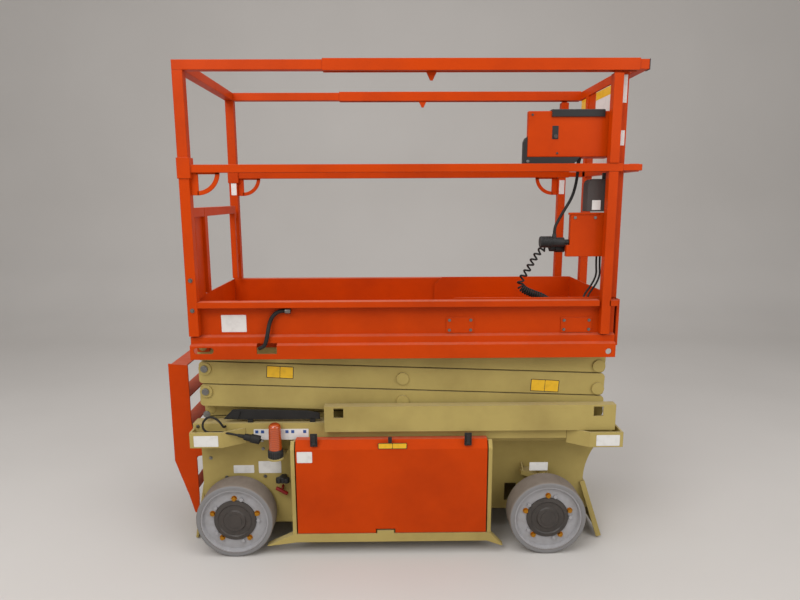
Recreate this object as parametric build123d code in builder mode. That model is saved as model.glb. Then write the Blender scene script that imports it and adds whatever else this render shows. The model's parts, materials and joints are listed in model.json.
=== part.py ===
from build123d import *
from math import atan2, cos, degrees, hypot, radians, sin, tan
import os

# Electric scissor lift. +X points to the steering end, +Z up, millimetres.
# The origin lies on the floor under the middle of the machine's outline.

os.makedirs("parts", exist_ok=True)

# ---------------------------------------------------------------- driving sizes
MACHINE_WIDTH = 760
WHEEL_DIAMETER = 323
TYRE_WIDTH = 100
TYRE_BORE = 284
REAR_AXLE_X = -669
FRONT_AXLE_X = 649
FIT = 0.05  # radial clearance of a pin in its bore
SEAT = 0.3  # gap between a bought part and what carries it
RUN = 5  # clearance between pieces that move past each other

PIN_LEFT_X = -780  # fixed pins of the scissor
PIN_RIGHT_X = 858  # sliding pins of the scissor, platform down
BASE_PIN_Z = 508
LEVEL_RISE = 98
LEVELS = 4
ARM_HEIGHT = 93
ARM_THICKNESS = 40
ARM_OVERHANG = 28
ARM_PIN_OFFSET = 18
SHAFT_RADIUS = 19
ROLLER_RADIUS = 28
HEAD_RADIUS = 26
HEAD_THICKNESS = 7

LANE_INNER = 150  # inner face of the lowest falling arm
LANE_MIDDLE = 200  # inner face of every rising arm
LANE_OUTER = 250  # inner face of the other falling arms
TRACK_REAR_X = 140

CHASSIS_REAR_X = -836
CHASSIS_FRONT_X = 921
BEAM_OUT_Y = 318
BEAM_IN_Y = 256
BEAM_TOP_Z = 572
BEAM_BOTTOM_Z = 496
WEB_BOTTOM_Z = 460
SHEET = 6
PLATE = 8
REAR_PLATE_Y = 270
REAR_PLATE_X = -823
FRONT_PLATE_Y = 188
FRONT_PLATE_BOTTOM_Z = 106
CHASSIS_BOTTOM_Z = 97
BAY_REAR_X = -411
BAY_FRONT_X = 393
BAY_ROOF_Z = 472
BAY_WALL_Y = 120
ARCH_X = 851  # the front side plate's upright edge, below its arch
ARCH_Z = 245
ARCH_RADIUS = 290

DOOR_OUT_Y = 370
DOOR_THICKNESS = 12
DOOR_TOP_Z = 512
DOOR_CREASE_Z = 474
LIP_WIDTH = 16

KINGPIN_Y = 240
KINGPIN_RADIUS = 18
KNUCKLE_RADIUS = 29
MOTOR_RADIUS = 65
BRACKET_BOTTOM_Z = 286
BRACKET_TOP_Z = 306
SPINDLE_RADIUS = 22

GUARD_REAR_X = -286
GUARD_OUT_Y = 345
GUARD_BOTTOM_Z = 541
GUARD_TOP_Z = 651
GUARD_THICKNESS = 5

DECK_REAR_X = -811
DECK_FRONT_X = 895
DECK_HALF_WIDTH = 367
DECK_SKIRT_BOTTOM_Z = 860
DECK_TOE_TOP_Z = 1092
DECK_WEB_Y = 330
DECK_UNDER_Z = 934
DECK_PLATE = 4

POST = 36
REAR_POST_X = -811
FRONT_POST_X = 821
POST_FOOT_Z = 955
MID_RAIL_Z = 1593
MID_RAIL = 30
TOP_RAIL_Z = 1964
TOP_RAIL = 36
RAIL_OUT_Y = 367

EXT_REAR_X = 211
EXT_FRONT_X = 926
EXT_TOE_Y = 318
EXT_TOE_TOP_Z = 1098
EXT_RAIL_REAR_X = -256
EXT_RAIL_FRONT_X = 945
SLEEVE = 43

GATE_X = -793
GATE_HINGE_Y = 326
GATE_LATCH_Y = -262
GATE_TOP_Z = 1465
GATE_BOTTOM_Z = 1110

CYLINDER_FOOT_DX = 600
CYLINDER_FOOT_DZ = -60
CYLINDER_EYE_DX = -600
CYLINDER_EYE_DZ = 60
BARREL_RADIUS = 42
ROD_RADIUS = 24

# ---------------------------------------------------------------- worked-out sizes
WHEEL_RADIUS = WHEEL_DIAMETER / 2
AXLE_Z = WHEEL_RADIUS
WHEEL_OUT_Y = MACHINE_WIDTH / 2
WHEEL_IN_Y = WHEEL_OUT_Y - TYRE_WIDTH
SPAN = PIN_RIGHT_X - PIN_LEFT_X
MID_X = (PIN_LEFT_X + PIN_RIGHT_X) / 2
BEAM_RISE = LEVEL_RISE / 2 - ARM_PIN_OFFSET
BEAM_SLOPE = degrees(atan2(2 * BEAM_RISE, SPAN))
BEAM_LENGTH = SPAN + 2 * ARM_OVERHANG
BORE = SHAFT_RADIUS + FIT
HEAD_IN_Y = LANE_OUTER + ARM_THICKNESS + SEAT
HEAD_OUT_Y = HEAD_IN_Y + HEAD_THICKNESS
DECK_TOP_Z = DECK_UNDER_Z + DECK_PLATE
TRACK_Z = BASE_PIN_Z - ROLLER_RADIUS - SEAT
DOOR_HINGE_Y = DOOR_OUT_Y - DOOR_THICKNESS / 2
DOOR_HINGE_Z = CHASSIS_BOTTOM_Z + DOOR_THICKNESS / 2


# ---------------------------------------------------------------- shaping helpers
def bar(x0, x1, y0, y1, z0, z1, mode=Mode.ADD):
    """A straight plate or bar between two corners."""
    with Locations(((x0 + x1) / 2, (y0 + y1) / 2, (z0 + z1) / 2)):
        Box(x1 - x0, y1 - y0, z1 - z0, mode=mode)


def side_sheet(points, y0, y1, mode=Mode.ADD):
    """A plate seen from the side: (x, z) corners, from y0 to y1."""
    with BuildSketch(Plane.XZ.offset(-y0)) as outline:
        with BuildLine():
            Polyline(*points, close=True)
        make_face()
    extrude(outline.sketch, amount=y0 - y1, mode=mode)


def long_section(points, x0, x1, mode=Mode.ADD):
    """A rolled or folded section along X: (y, z) corners."""
    with BuildSketch(Plane.YZ.offset(x0)) as outline:
        with BuildLine():
            Polyline(*points, close=True)
        make_face()
    extrude(outline.sketch, amount=x1 - x0, mode=mode)


def plan_sheet(points, z0, z1, mode=Mode.ADD):
    """A plate seen from above: (x, y) corners, from z0 to z1."""
    with BuildSketch(Plane.XY.offset(z0)) as outline:
        with BuildLine():
            Polyline(*points, close=True)
        make_face()
    extrude(outline.sketch, amount=z1 - z0, mode=mode)


def cross_rod(x, z, y0, y1, radius, mode=Mode.ADD):
    """A round bar, or a hole, along Y."""
    with BuildSketch(Plane.XZ.offset(-y0)) as outline:
        with Locations((x, z)):
            Circle(radius)
    extrude(outline.sketch, amount=y0 - y1, mode=mode)


def cross_tube(x, z, y0, y1, radius, wall):
    """A hollow round tube along Y."""
    with BuildSketch(Plane.XZ.offset(-y0)) as outline:
        with Locations((x, z)):
            Circle(radius)
            Circle(radius - wall, mode=Mode.SUBTRACT)
    extrude(outline.sketch, amount=y0 - y1)


def upright(x, y, z0, z1, radius, mode=Mode.ADD):
    """A round bar, or a hole, along Z."""
    with BuildSketch(Plane.XY.offset(z0)) as outline:
        with Locations((x, y)):
            Circle(radius)
    extrude(outline.sketch, amount=z1 - z0, mode=mode)


def long_rod(y, z, x0, x1, radius, mode=Mode.ADD):
    """A round bar, or a hole, along X."""
    with BuildSketch(Plane.YZ.offset(x0)) as outline:
        with Locations((y, z)):
            Circle(radius)
    extrude(outline.sketch, amount=x1 - x0, mode=mode)


def square_tube_x(x0, x1, y, z, size, wall):
    """A square tube along X; y and z are its centre."""
    with BuildSketch(Plane.YZ.offset(x0)) as outline:
        with Locations((y, z)):
            RectangleRounded(size, size, 3)
            Rectangle(size - 2 * wall, size - 2 * wall, mode=Mode.SUBTRACT)
    extrude(outline.sketch, amount=x1 - x0)


def finish(piece, name):
    """Label a finished piece and write it."""
    piece.label = name
    export_step(piece, f"parts/{name}.step")


def route_radii(points):
    """Bend radii of a cord's route: 0.45 of the shorter run over the tangent of half the turn."""
    vectors = [Vector(*point) for point in points]
    radii = []
    for before, corner, after in zip(vectors, vectors[1:], vectors[2:]):
        turn = (corner - before).get_angle(after - corner)
        shorter = min((corner - before).length, (after - corner).length)
        radii.append(0.45 * shorter / tan(radians(turn / 2)))
    return radii


# ---------------------------------------------------------------- wheels
WHEELS = [
    # name, axle x, side
    ("rear_right", REAR_AXLE_X, -1),
    ("rear_left", REAR_AXLE_X, 1),
    ("front_right", FRONT_AXLE_X, -1),
    ("front_left", FRONT_AXLE_X, 1),
]
RIM_RADIUS = TYRE_BORE / 2 - SEAT
SHOULDER = 9
DISC_DEPTH = 17
DISC_THICKNESS = 10
BOLT_CIRCLE = 98
HUB_RADIUS = 88


def tyre(axle_x, side):
    """A solid rubber ring pressed on its rim."""
    axle = Plane(origin=(axle_x, side * WHEEL_IN_Y, AXLE_Z), x_dir=(1, 0, 0), z_dir=(0, side, 0))
    with BuildPart() as ring:
        with BuildSketch(axle):
            Circle(WHEEL_RADIUS)
            Circle(TYRE_BORE / 2, mode=Mode.SUBTRACT)
        extrude(amount=TYRE_WIDTH)
        fillet(ring.edges().filter_by(GeomType.CIRCLE).group_by(SortBy.RADIUS)[-1], SHOULDER)
    return ring.part


def rim(axle_x, side):
    """A pressed disc with a raised bead, a stepped hub and five bolts."""
    section = [
        # radius, distance out from the wheel's inner face
        (SPINDLE_RADIUS + FIT, 12),
        (HUB_RADIUS - 18, 12),
        (HUB_RADIUS - 18, 60),
        (RIM_RADIUS - 22, 60),
        (RIM_RADIUS - 12, 4),
        (RIM_RADIUS, 4),
        (RIM_RADIUS, TYRE_WIDTH - 2),
        (RIM_RADIUS - 6, TYRE_WIDTH - 2),
        (RIM_RADIUS - 10, TYRE_WIDTH - DISC_DEPTH),
        (HUB_RADIUS, TYRE_WIDTH - DISC_DEPTH),
        (HUB_RADIUS, TYRE_WIDTH - DISC_DEPTH + 5),
        (HUB_RADIUS - 16, TYRE_WIDTH - DISC_DEPTH + 9),
        (HUB_RADIUS - 20, TYRE_WIDTH - DISC_DEPTH + 5),
        (HUB_RADIUS - 40, TYRE_WIDTH - DISC_DEPTH + 7),
        (HUB_RADIUS - 44, TYRE_WIDTH - DISC_DEPTH + 13),
        (SPINDLE_RADIUS + FIT, TYRE_WIDTH - DISC_DEPTH + 13),
    ]
    axle = Plane(origin=(axle_x, side * WHEEL_IN_Y, AXLE_Z), x_dir=(1, 0, 0), z_dir=(0, 0, 1))
    bolts = Plane(origin=(axle_x, side * (WHEEL_OUT_Y - DISC_DEPTH - 1), AXLE_Z), z_dir=(0, side, 0))
    with BuildPart() as disc:
        with BuildSketch(axle):
            with BuildLine():
                Polyline(*[(radius, side * out) for radius, out in section], close=True)
            make_face()
        revolve(axis=Axis((axle_x, 0, AXLE_Z), (0, 1, 0)))
        cap_in = side * (WHEEL_IN_Y + 70)
        cap_out = side * (WHEEL_OUT_Y - DISC_DEPTH + 15)
        cross_rod(axle_x, AXLE_Z, min(cap_in, cap_out), max(cap_in, cap_out), 30)
        with BuildSketch(bolts):
            with PolarLocations(BOLT_CIRCLE, 5, start_angle=18):
                RegularPolygon(8.5, 6)
        extrude(amount=9)
    return disc.part


for name, axle_x, side in WHEELS:
    finish(tyre(axle_x, side), f"tyre_{name}")
    finish(rim(axle_x, side), f"rim_{name}")

# rear stub axles: a flanged spindle bolted through each side plate
with BuildPart() as stubs:
    cross_rod(REAR_AXLE_X, AXLE_Z, REAR_PLATE_Y + SEAT, WHEEL_IN_Y + 6, 60)
    cross_rod(REAR_AXLE_X, AXLE_Z, WHEEL_IN_Y + 6, WHEEL_IN_Y + 68, SPINDLE_RADIUS)
    mirror(about=Plane.XZ)
finish(stubs.part, "rear_stub_axles")


def knuckle(side):
    """Kingpin, drive motor housing and spindle of a steered wheel."""
    with BuildPart() as body:
        upright(FRONT_AXLE_X, KINGPIN_Y, AXLE_Z, BRACKET_BOTTOM_Z - SEAT, KNUCKLE_RADIUS)
        upright(FRONT_AXLE_X, KINGPIN_Y, BRACKET_BOTTOM_Z - SEAT, BRACKET_TOP_Z + 9, KINGPIN_RADIUS)
        cross_rod(FRONT_AXLE_X, AXLE_Z, KINGPIN_Y - 15, WHEEL_IN_Y - RUN, MOTOR_RADIUS)
        cross_rod(FRONT_AXLE_X, AXLE_Z, WHEEL_IN_Y - RUN, WHEEL_IN_Y + 68, SPINDLE_RADIUS)
        # lug and post of the steering link
        bar(FRONT_AXLE_X - 84, FRONT_AXLE_X - 55, KINGPIN_Y - 6, KINGPIN_Y + 8, 146, 182)
        upright(FRONT_AXLE_X - 80, KINGPIN_Y + 1, 138, 196, 9)
    if side < 0:
        return mirror(body.part, about=Plane.XZ)
    return body.part


finish(knuckle(-1), "knuckle_right")
finish(knuckle(1), "knuckle_left")

# ---------------------------------------------------------------- chassis
# box beam along the top of each side, with the web and track it carries inside
with BuildPart() as side_beams:
    bar(CHASSIS_REAR_X, CHASSIS_FRONT_X, BEAM_IN_Y, BEAM_OUT_Y, BEAM_BOTTOM_Z, BEAM_TOP_Z)
    bar(
        CHASSIS_REAR_X + SHEET,
        CHASSIS_FRONT_X - SHEET,
        BEAM_IN_Y + SHEET,
        BEAM_OUT_Y - SHEET,
        BEAM_BOTTOM_Z + SHEET,
        BEAM_TOP_Z - SHEET,
        mode=Mode.SUBTRACT,
    )
    bar(CHASSIS_REAR_X, CHASSIS_FRONT_X, BEAM_IN_Y, BEAM_IN_Y + SHEET, WEB_BOTTOM_Z, BEAM_BOTTOM_Z)
    bar(TRACK_REAR_X, CHASSIS_FRONT_X, LANE_MIDDLE - 7, BEAM_IN_Y, BAY_ROOF_Z + SEAT, TRACK_Z)
    bar(BAY_FRONT_X + PLATE + SEAT, CHASSIS_FRONT_X, FRONT_PLATE_Y - PLATE, BEAM_IN_Y, WEB_BOTTOM_Z, BAY_ROOF_Z + SEAT)
    cross_rod(PIN_LEFT_X, BASE_PIN_Z, BEAM_IN_Y - 1, BEAM_IN_Y + SHEET, BORE, mode=Mode.SUBTRACT)
    mirror(about=Plane.XZ)
finish(side_beams.part, "side_beams")

# side plates: the rear ones carry the stub axles, the front ones the kingpins
GUARD_SLOPE = 0.276  # forward run of the slanted end guard for each millimetre down
GUARD_TOP_X = 857
GUARD_PLATE_TOP_Z = 240
guard_inside_x = GUARD_TOP_X - SHEET * hypot(1, GUARD_SLOPE) - SEAT
arch_turn = radians(37)
arch_centre_x = ARCH_X + ARCH_RADIUS
arch_middle = (
    arch_centre_x - ARCH_RADIUS * cos(arch_turn / 2),
    ARCH_Z + ARCH_RADIUS * sin(arch_turn / 2),
)
arch_end = (arch_centre_x - ARCH_RADIUS * cos(arch_turn), ARCH_Z + ARCH_RADIUS * sin(arch_turn))
plate_front_low = guard_inside_x + GUARD_SLOPE * (GUARD_PLATE_TOP_Z - FRONT_PLATE_BOTTOM_Z)
with BuildPart() as side_plates:
    side_sheet(
        [
            (REAR_PLATE_X, BEAM_BOTTOM_Z - SEAT),
            (BAY_REAR_X - PLATE - SEAT, BEAM_BOTTOM_Z - SEAT),
            (BAY_REAR_X - PLATE - SEAT, CHASSIS_BOTTOM_Z),
            (REAR_PLATE_X + 23, CHASSIS_BOTTOM_Z),
            (REAR_PLATE_X, 130),
        ],
        REAR_PLATE_Y - PLATE + SEAT,
        REAR_PLATE_Y,
    )
    with BuildSketch(Plane.XZ.offset(-(FRONT_PLATE_Y - PLATE))) as front_plate:
        with BuildLine():
            Polyline(
                arch_end,
                (arch_end[0], WEB_BOTTOM_Z - SEAT),
                (BAY_FRONT_X + PLATE + SEAT, WEB_BOTTOM_Z - SEAT),
                (BAY_FRONT_X + PLATE + SEAT, FRONT_PLATE_BOTTOM_Z),
                (plate_front_low, FRONT_PLATE_BOTTOM_Z),
                (guard_inside_x, GUARD_PLATE_TOP_Z),
                (ARCH_X, ARCH_Z),
            )
            ThreePointArc((ARCH_X, ARCH_Z), arch_middle, arch_end)
        make_face()
        with Locations((524, 186)):
            Rectangle(52, 84, mode=Mode.SUBTRACT)
    extrude(front_plate.sketch, amount=-PLATE)
    # kingpin bracket with its two ribs
    plan_sheet(
        [
            (562, FRONT_PLATE_Y - 1),
            (680, FRONT_PLATE_Y - 1),
            (680, KINGPIN_Y + 4),
            (FRONT_AXLE_X + 18, KINGPIN_Y + 30),
            (FRONT_AXLE_X - 18, KINGPIN_Y + 30),
            (575, KINGPIN_Y - 4),
            (562, KINGPIN_Y - 12),
        ],
        BRACKET_BOTTOM_Z,
        BRACKET_TOP_Z,
    )
    for x, reach in ((567, 230), (671, 243)):
        rib = [(FRONT_PLATE_Y - 1, BRACKET_TOP_Z), (reach, BRACKET_TOP_Z), (FRONT_PLATE_Y - 1, BRACKET_TOP_Z + 24)]
        long_section(rib, x, x + PLATE)
    upright(FRONT_AXLE_X, KINGPIN_Y, BRACKET_BOTTOM_Z - 1, BRACKET_TOP_Z + 1, KINGPIN_RADIUS + FIT, mode=Mode.SUBTRACT)
    mirror(about=Plane.XZ)
finish(side_plates.part, "side_plates")

# service bays between the wheels, open outward, with a lip beside each door
bay_section = [
    # y, z of an end wall, notched round the beam's web
    (BAY_WALL_Y, CHASSIS_BOTTOM_Z),
    (DOOR_OUT_Y - DOOR_THICKNESS - RUN, CHASSIS_BOTTOM_Z),
    (DOOR_OUT_Y - DOOR_THICKNESS - RUN, BEAM_BOTTOM_Z - SEAT),
    (BEAM_IN_Y + SHEET + SEAT, BEAM_BOTTOM_Z - SEAT),
    (BEAM_IN_Y + SHEET + SEAT, WEB_BOTTOM_Z - SEAT),
    (BEAM_IN_Y - SEAT, WEB_BOTTOM_Z - SEAT),
    (BEAM_IN_Y - SEAT, BAY_ROOF_Z),
    (BAY_WALL_Y, BAY_ROOF_Z),
]
lip_section = [
    (345, CHASSIS_BOTTOM_Z),
    (DOOR_OUT_Y, CHASSIS_BOTTOM_Z),
    (DOOR_OUT_Y, DOOR_CREASE_Z),
    (DOOR_OUT_Y - 17, DOOR_TOP_Z - 7),
    (345, DOOR_TOP_Z - 7),
]
with BuildPart() as service_bays:
    bar(BAY_REAR_X, BAY_FRONT_X, BAY_WALL_Y, BEAM_IN_Y - SEAT, BAY_ROOF_Z - SHEET, BAY_ROOF_Z)
    bar(
        BAY_REAR_X,
        BAY_FRONT_X,
        BAY_WALL_Y,
        DOOR_OUT_Y - DOOR_THICKNESS - RUN,
        CHASSIS_BOTTOM_Z,
        CHASSIS_BOTTOM_Z + SHEET,
    )
    bar(BAY_REAR_X, BAY_FRONT_X, BAY_WALL_Y, BAY_WALL_Y + SHEET, CHASSIS_BOTTOM_Z, BAY_ROOF_Z)
    for wall_x, lip_x in ((BAY_REAR_X - PLATE, BAY_REAR_X - LIP_WIDTH), (BAY_FRONT_X, BAY_FRONT_X)):
        long_section(bay_section, wall_x, wall_x + PLATE)
        long_section(lip_section, lip_x, lip_x + LIP_WIDTH)
    mirror(about=Plane.XZ)
finish(service_bays.part, "service_bays")

# floor and cross walls between the sides
inner_wall = BAY_WALL_Y - SEAT
with BuildPart() as underpan:
    bar(REAR_PLATE_X, BAY_REAR_X - PLATE - SEAT, -REAR_PLATE_Y + PLATE, REAR_PLATE_Y - PLATE, 100, 106)
    bar(BAY_REAR_X - PLATE - 1, BAY_REAR_X, -inner_wall, inner_wall, CHASSIS_BOTTOM_Z, BAY_ROOF_Z - SHEET)
    bar(BAY_REAR_X, BAY_FRONT_X, -inner_wall, inner_wall, CHASSIS_BOTTOM_Z, CHASSIS_BOTTOM_Z + SHEET)
    bar(BAY_FRONT_X, BAY_FRONT_X + PLATE + 1, -inner_wall, inner_wall, CHASSIS_BOTTOM_Z, BAY_ROOF_Z - SHEET)
    floor_front_x = 850
    front_half = FRONT_PLATE_Y - PLATE - SEAT
    bar(BAY_FRONT_X + PLATE + SEAT, floor_front_x, -front_half, front_half, 106, 112)
    bar(812, 818, -front_half, front_half, 106, WEB_BOTTOM_Z - SEAT)
    bar(REAR_PLATE_X, REAR_PLATE_X + SHEET, -REAR_PLATE_Y + PLATE, REAR_PLATE_Y - PLATE, 100, WEB_BOTTOM_Z)
finish(underpan.part, "underpan")

# track guards: channels that cover the lowest arms beside the track
with BuildPart() as guards:
    long_section(
        [
            (BEAM_OUT_Y + SEAT, GUARD_BOTTOM_Z),
            (GUARD_OUT_Y, GUARD_BOTTOM_Z),
            (GUARD_OUT_Y, GUARD_TOP_Z),
            (305, GUARD_TOP_Z),
            (305, GUARD_TOP_Z - GUARD_THICKNESS),
            (GUARD_OUT_Y - GUARD_THICKNESS, GUARD_TOP_Z - GUARD_THICKNESS),
            (GUARD_OUT_Y - GUARD_THICKNESS, GUARD_BOTTOM_Z + GUARD_THICKNESS),
            (BEAM_OUT_Y + SEAT, GUARD_BOTTOM_Z + GUARD_THICKNESS),
        ],
        GUARD_REAR_X,
        CHASSIS_FRONT_X,
    )
    for x in (-227, 849):
        bar(x - 20, x + 20, GUARD_OUT_Y - 10, GUARD_OUT_Y + 10, 602, 643, mode=Mode.SUBTRACT)
    mirror(about=Plane.XZ)
finish(guards.part, "track_guards")

# corner straps: bent flats that stand off the beams at the four corners
STRAP = 8
STRAP_OUT_Y = 370
strap_foot_y = BEAM_OUT_Y + SEAT
rear_strap = [
    (CHASSIS_REAR_X, strap_foot_y),
    (CHASSIS_REAR_X + STRAP, strap_foot_y),
    (CHASSIS_REAR_X + STRAP, STRAP_OUT_Y - STRAP),
    (-706, STRAP_OUT_Y - STRAP),
    (-633, strap_foot_y),
    (-617, strap_foot_y),
    (-703, STRAP_OUT_Y),
    (CHASSIS_REAR_X, STRAP_OUT_Y),
]
strap_front_x = 948
front_strap = [
    (CHASSIS_FRONT_X + SEAT, BEAM_IN_Y),
    (strap_front_x, BEAM_IN_Y),
    (strap_front_x, STRAP_OUT_Y),
    (810, STRAP_OUT_Y),
    (727, strap_foot_y),
    (743, strap_foot_y),
    (813, STRAP_OUT_Y - STRAP),
    (strap_front_x - STRAP, STRAP_OUT_Y - STRAP),
    (strap_front_x - STRAP, BEAM_IN_Y + STRAP),
    (CHASSIS_FRONT_X + SEAT, BEAM_IN_Y + STRAP),
]
with BuildPart() as straps:
    plan_sheet(rear_strap, 486, GUARD_BOTTOM_Z + 11)
    plan_sheet(front_strap, 476, GUARD_BOTTOM_Z - SEAT)
    mirror(about=Plane.XZ)
finish(straps.part, "corner_straps")

# pothole bars under the doors, ramped at both ends, with a stop in front of each door
POTHOLE_TOP_Z = CHASSIS_BOTTOM_Z - SEAT
POTHOLE_IN_Y = 340
STOP_REAR_X = -72
STOP_FRONT_X = 0
STOP_TOP_Z = 110
with BuildPart() as potholes:
    side_sheet(
        [(-540, 44), (-526, 44), (-411, 59), (393, 59), (452, 37), (462, 37), (405, POTHOLE_TOP_Z), (-423, POTHOLE_TOP_Z)],
        POTHOLE_IN_Y,
        DOOR_OUT_Y,
    )
    bar(STOP_REAR_X, STOP_FRONT_X, DOOR_OUT_Y - 10, DOOR_OUT_Y, POTHOLE_TOP_Z, STOP_TOP_Z)
    mirror(about=Plane.XZ)
finish(potholes.part, "pothole_bars")

# slanted guards under both ends; the front one is a channel that widens downward
guard_slant = hypot(1, GUARD_SLOPE)
guard_plane = Plane(
    origin=(GUARD_TOP_X, 0, GUARD_PLATE_TOP_Z),
    x_dir=(0, 1, 0),
    z_dir=(1 / guard_slant, 0, GUARD_SLOPE / guard_slant),
)
GUARD_LENGTH = 236
GUARD_DEPTH = 22
GUARD_TOP_HALF = 196
GUARD_BOTTOM_HALF = 264
with BuildPart() as end_guards:
    for edge, start, depth, mode in ((0, 0, GUARD_DEPTH, Mode.ADD), (SHEET, SHEET, GUARD_DEPTH, Mode.SUBTRACT)):
        with BuildSketch(guard_plane.offset(-start)) as front_guard:
            with BuildLine():
                Polyline(
                    (-GUARD_TOP_HALF + edge, edge),
                    (GUARD_TOP_HALF - edge, edge),
                    (GUARD_BOTTOM_HALF - edge, -GUARD_LENGTH - edge),
                    (-GUARD_BOTTOM_HALF + edge, -GUARD_LENGTH - edge),
                    close=True,
                )
            make_face()
        extrude(front_guard.sketch, amount=-depth, mode=mode)
    side_sheet([(-823.3, 270), (-834, 270), (-884, 8), (-874, 6)], -240, 240)
finish(end_guards.part, "end_guards")

# entry ladder: two side plates with folded treads
LADDER_Y = 226
LADDER_BACK_X = REAR_PLATE_X - SEAT
ladder_outline = [
    # x, z round a side plate, from its top rear corner
    (-958, 804),
    (-876, 797),
    (-876, 548),
    (-862, 440),
    (LADDER_BACK_X, 432),
    (LADDER_BACK_X, 392),
    (-862, 384),
    (-862, 200),
    (-867, 120),
    (-884, 120),
    (-905, 200),
    (-958, 366),
]
ladder_treads = [
    # front edge x, back edge x, top z
    (-954, -880, 797),
    (-954, -880, 655),
    (-952, -880, 515),
    (-948, -866, 375),
    (-908, -866, 232),
]
with BuildPart() as ladder:
    for y in (-LADDER_Y, LADDER_Y - SHEET):
        side_sheet(ladder_outline, y, y + SHEET)
    for front, back, top in ladder_treads:
        side_sheet(
            [
                (front, top),
                (back, top),
                (back, top - 4),
                (front + 4, top - 4),
                (front + 4, top - 26),
                (front, top - 26),
            ],
            -LADDER_Y + SHEET,
            LADDER_Y - SHEET,
        )
finish(ladder.part, "entry_ladder")

# warning lamp on a shelf beside the beam
LAMP_X = -491
LAMP_Y = -(BEAM_OUT_Y + SEAT + 29)
with BuildPart() as beacon:
    upright(LAMP_X, LAMP_Y, 436, 470, 29)
    with BuildSketch(Plane.XY.offset(470)) as lens:
        with Locations((LAMP_X, LAMP_Y)):
            Circle(27)
    extrude(lens.sketch, amount=112, taper=1)
    fillet(beacon.edges().sort_by(Axis.Z)[-1], 18)
finish(beacon.part, "beacon")
with BuildPart() as lamp_shelf:
    bar(LAMP_X - 34, LAMP_X + 34, LAMP_Y, -REAR_PLATE_Y - SEAT, 429, 436 - SEAT)
    upright(LAMP_X, LAMP_Y, 429, 436 - SEAT, 34)
finish(lamp_shelf.part, "lamp_shelf")

# heavy blocks behind the doors
with BuildPart() as battery_pack:
    bar(-330, 330, -340, -BAY_WALL_Y - SHEET - SEAT, CHASSIS_BOTTOM_Z + SHEET + SEAT, 380)
finish(battery_pack.part, "battery_pack")
with BuildPart() as hydraulic_unit:
    bar(-250, 100, BAY_WALL_Y + SHEET + SEAT, 320, CHASSIS_BOTTOM_Z + SHEET + SEAT, 330)
    cross_rod(220, 200, BAY_WALL_Y + SHEET + SEAT, 310, 70)
    bar(100, 200, 160, 260, 180, 240)
finish(hydraulic_unit.part, "hydraulic_unit")


def door(side):
    """A folded cover plate whose round lower edge is its hinge."""
    with BuildPart() as cover:
        long_section(
            [
                (DOOR_OUT_Y, DOOR_HINGE_Z),
                (DOOR_OUT_Y, DOOR_CREASE_Z),
                (DOOR_OUT_Y - 16, DOOR_TOP_Z),
                (BEAM_OUT_Y + 7, DOOR_TOP_Z),
                (BEAM_OUT_Y + 7, DOOR_TOP_Z - 5),
                (DOOR_OUT_Y - DOOR_THICKNESS - 10, DOOR_TOP_Z - 5),
                (DOOR_OUT_Y - DOOR_THICKNESS, DOOR_CREASE_Z - 2),
                (DOOR_OUT_Y - DOOR_THICKNESS, DOOR_HINGE_Z),
            ],
            BAY_REAR_X + RUN,
            BAY_FRONT_X - RUN,
        )
        long_rod(DOOR_HINGE_Y, DOOR_HINGE_Z, BAY_REAR_X + RUN, BAY_FRONT_X - RUN, DOOR_THICKNESS / 2)
        # notch that lets the stop through
        bar(
            STOP_REAR_X - RUN,
            STOP_FRONT_X + RUN,
            DOOR_OUT_Y - DOOR_THICKNESS - 1,
            DOOR_OUT_Y + 1,
            CHASSIS_BOTTOM_Z - 1,
            STOP_TOP_Z + 8,
            mode=Mode.SUBTRACT,
        )
    if side < 0:
        return mirror(cover.part, about=Plane.XZ)
    return cover.part


finish(door(-1), "door_right")
finish(door(1), "door_left")


# ---------------------------------------------------------------- scissor
def level_z(level):
    """Height of the pins above a level, counted from the chassis."""
    return BASE_PIN_Z + level * LEVEL_RISE


def arm_beam(level, rising, lane):
    """One straight arm, bored for its three pins."""
    middle_z = level_z(level - 0.5)
    half = LEVEL_RISE / 2
    left_z = middle_z - half if rising else middle_z + half
    right_z = middle_z + half if rising else middle_z - half
    with BuildSketch(Plane.XZ.offset(-lane)) as outline:
        with Locations((MID_X, middle_z)):
            RectangleRounded(BEAM_LENGTH, ARM_HEIGHT, 16, rotation=BEAM_SLOPE if rising else -BEAM_SLOPE)
        with Locations((PIN_LEFT_X, left_z), (MID_X, middle_z), (PIN_RIGHT_X, right_z)):
            Circle(BORE, mode=Mode.SUBTRACT)
    extrude(outline.sketch, amount=-ARM_THICKNESS)


def headed_pin(x, z, y0):
    """A pin from y0 out through the outer lane, with its head."""
    cross_rod(x, z, y0, HEAD_IN_Y, SHAFT_RADIUS)
    cross_rod(x, z, HEAD_IN_Y, HEAD_OUT_Y, HEAD_RADIUS)


# cross tubes of the rising arms: offset from the arm's middle and radius
RISING_TUBES = {
    2: [(-720, 2, 20), (600, 22, 24)],
    3: [(-300, -11, 30), (600, 22, 30)],
    4: [(-500, -19, 30), (100, 4, 30)],
}
EYE_X = MID_X + CYLINDER_EYE_DX
EYE_Z = level_z(1.5) + CYLINDER_EYE_DZ
FOOT_X = MID_X + CYLINDER_FOOT_DX
FOOT_Z = level_z(0.5) + CYLINDER_FOOT_DZ
LUG_IN_Y = 34
LUG = 10

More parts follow.
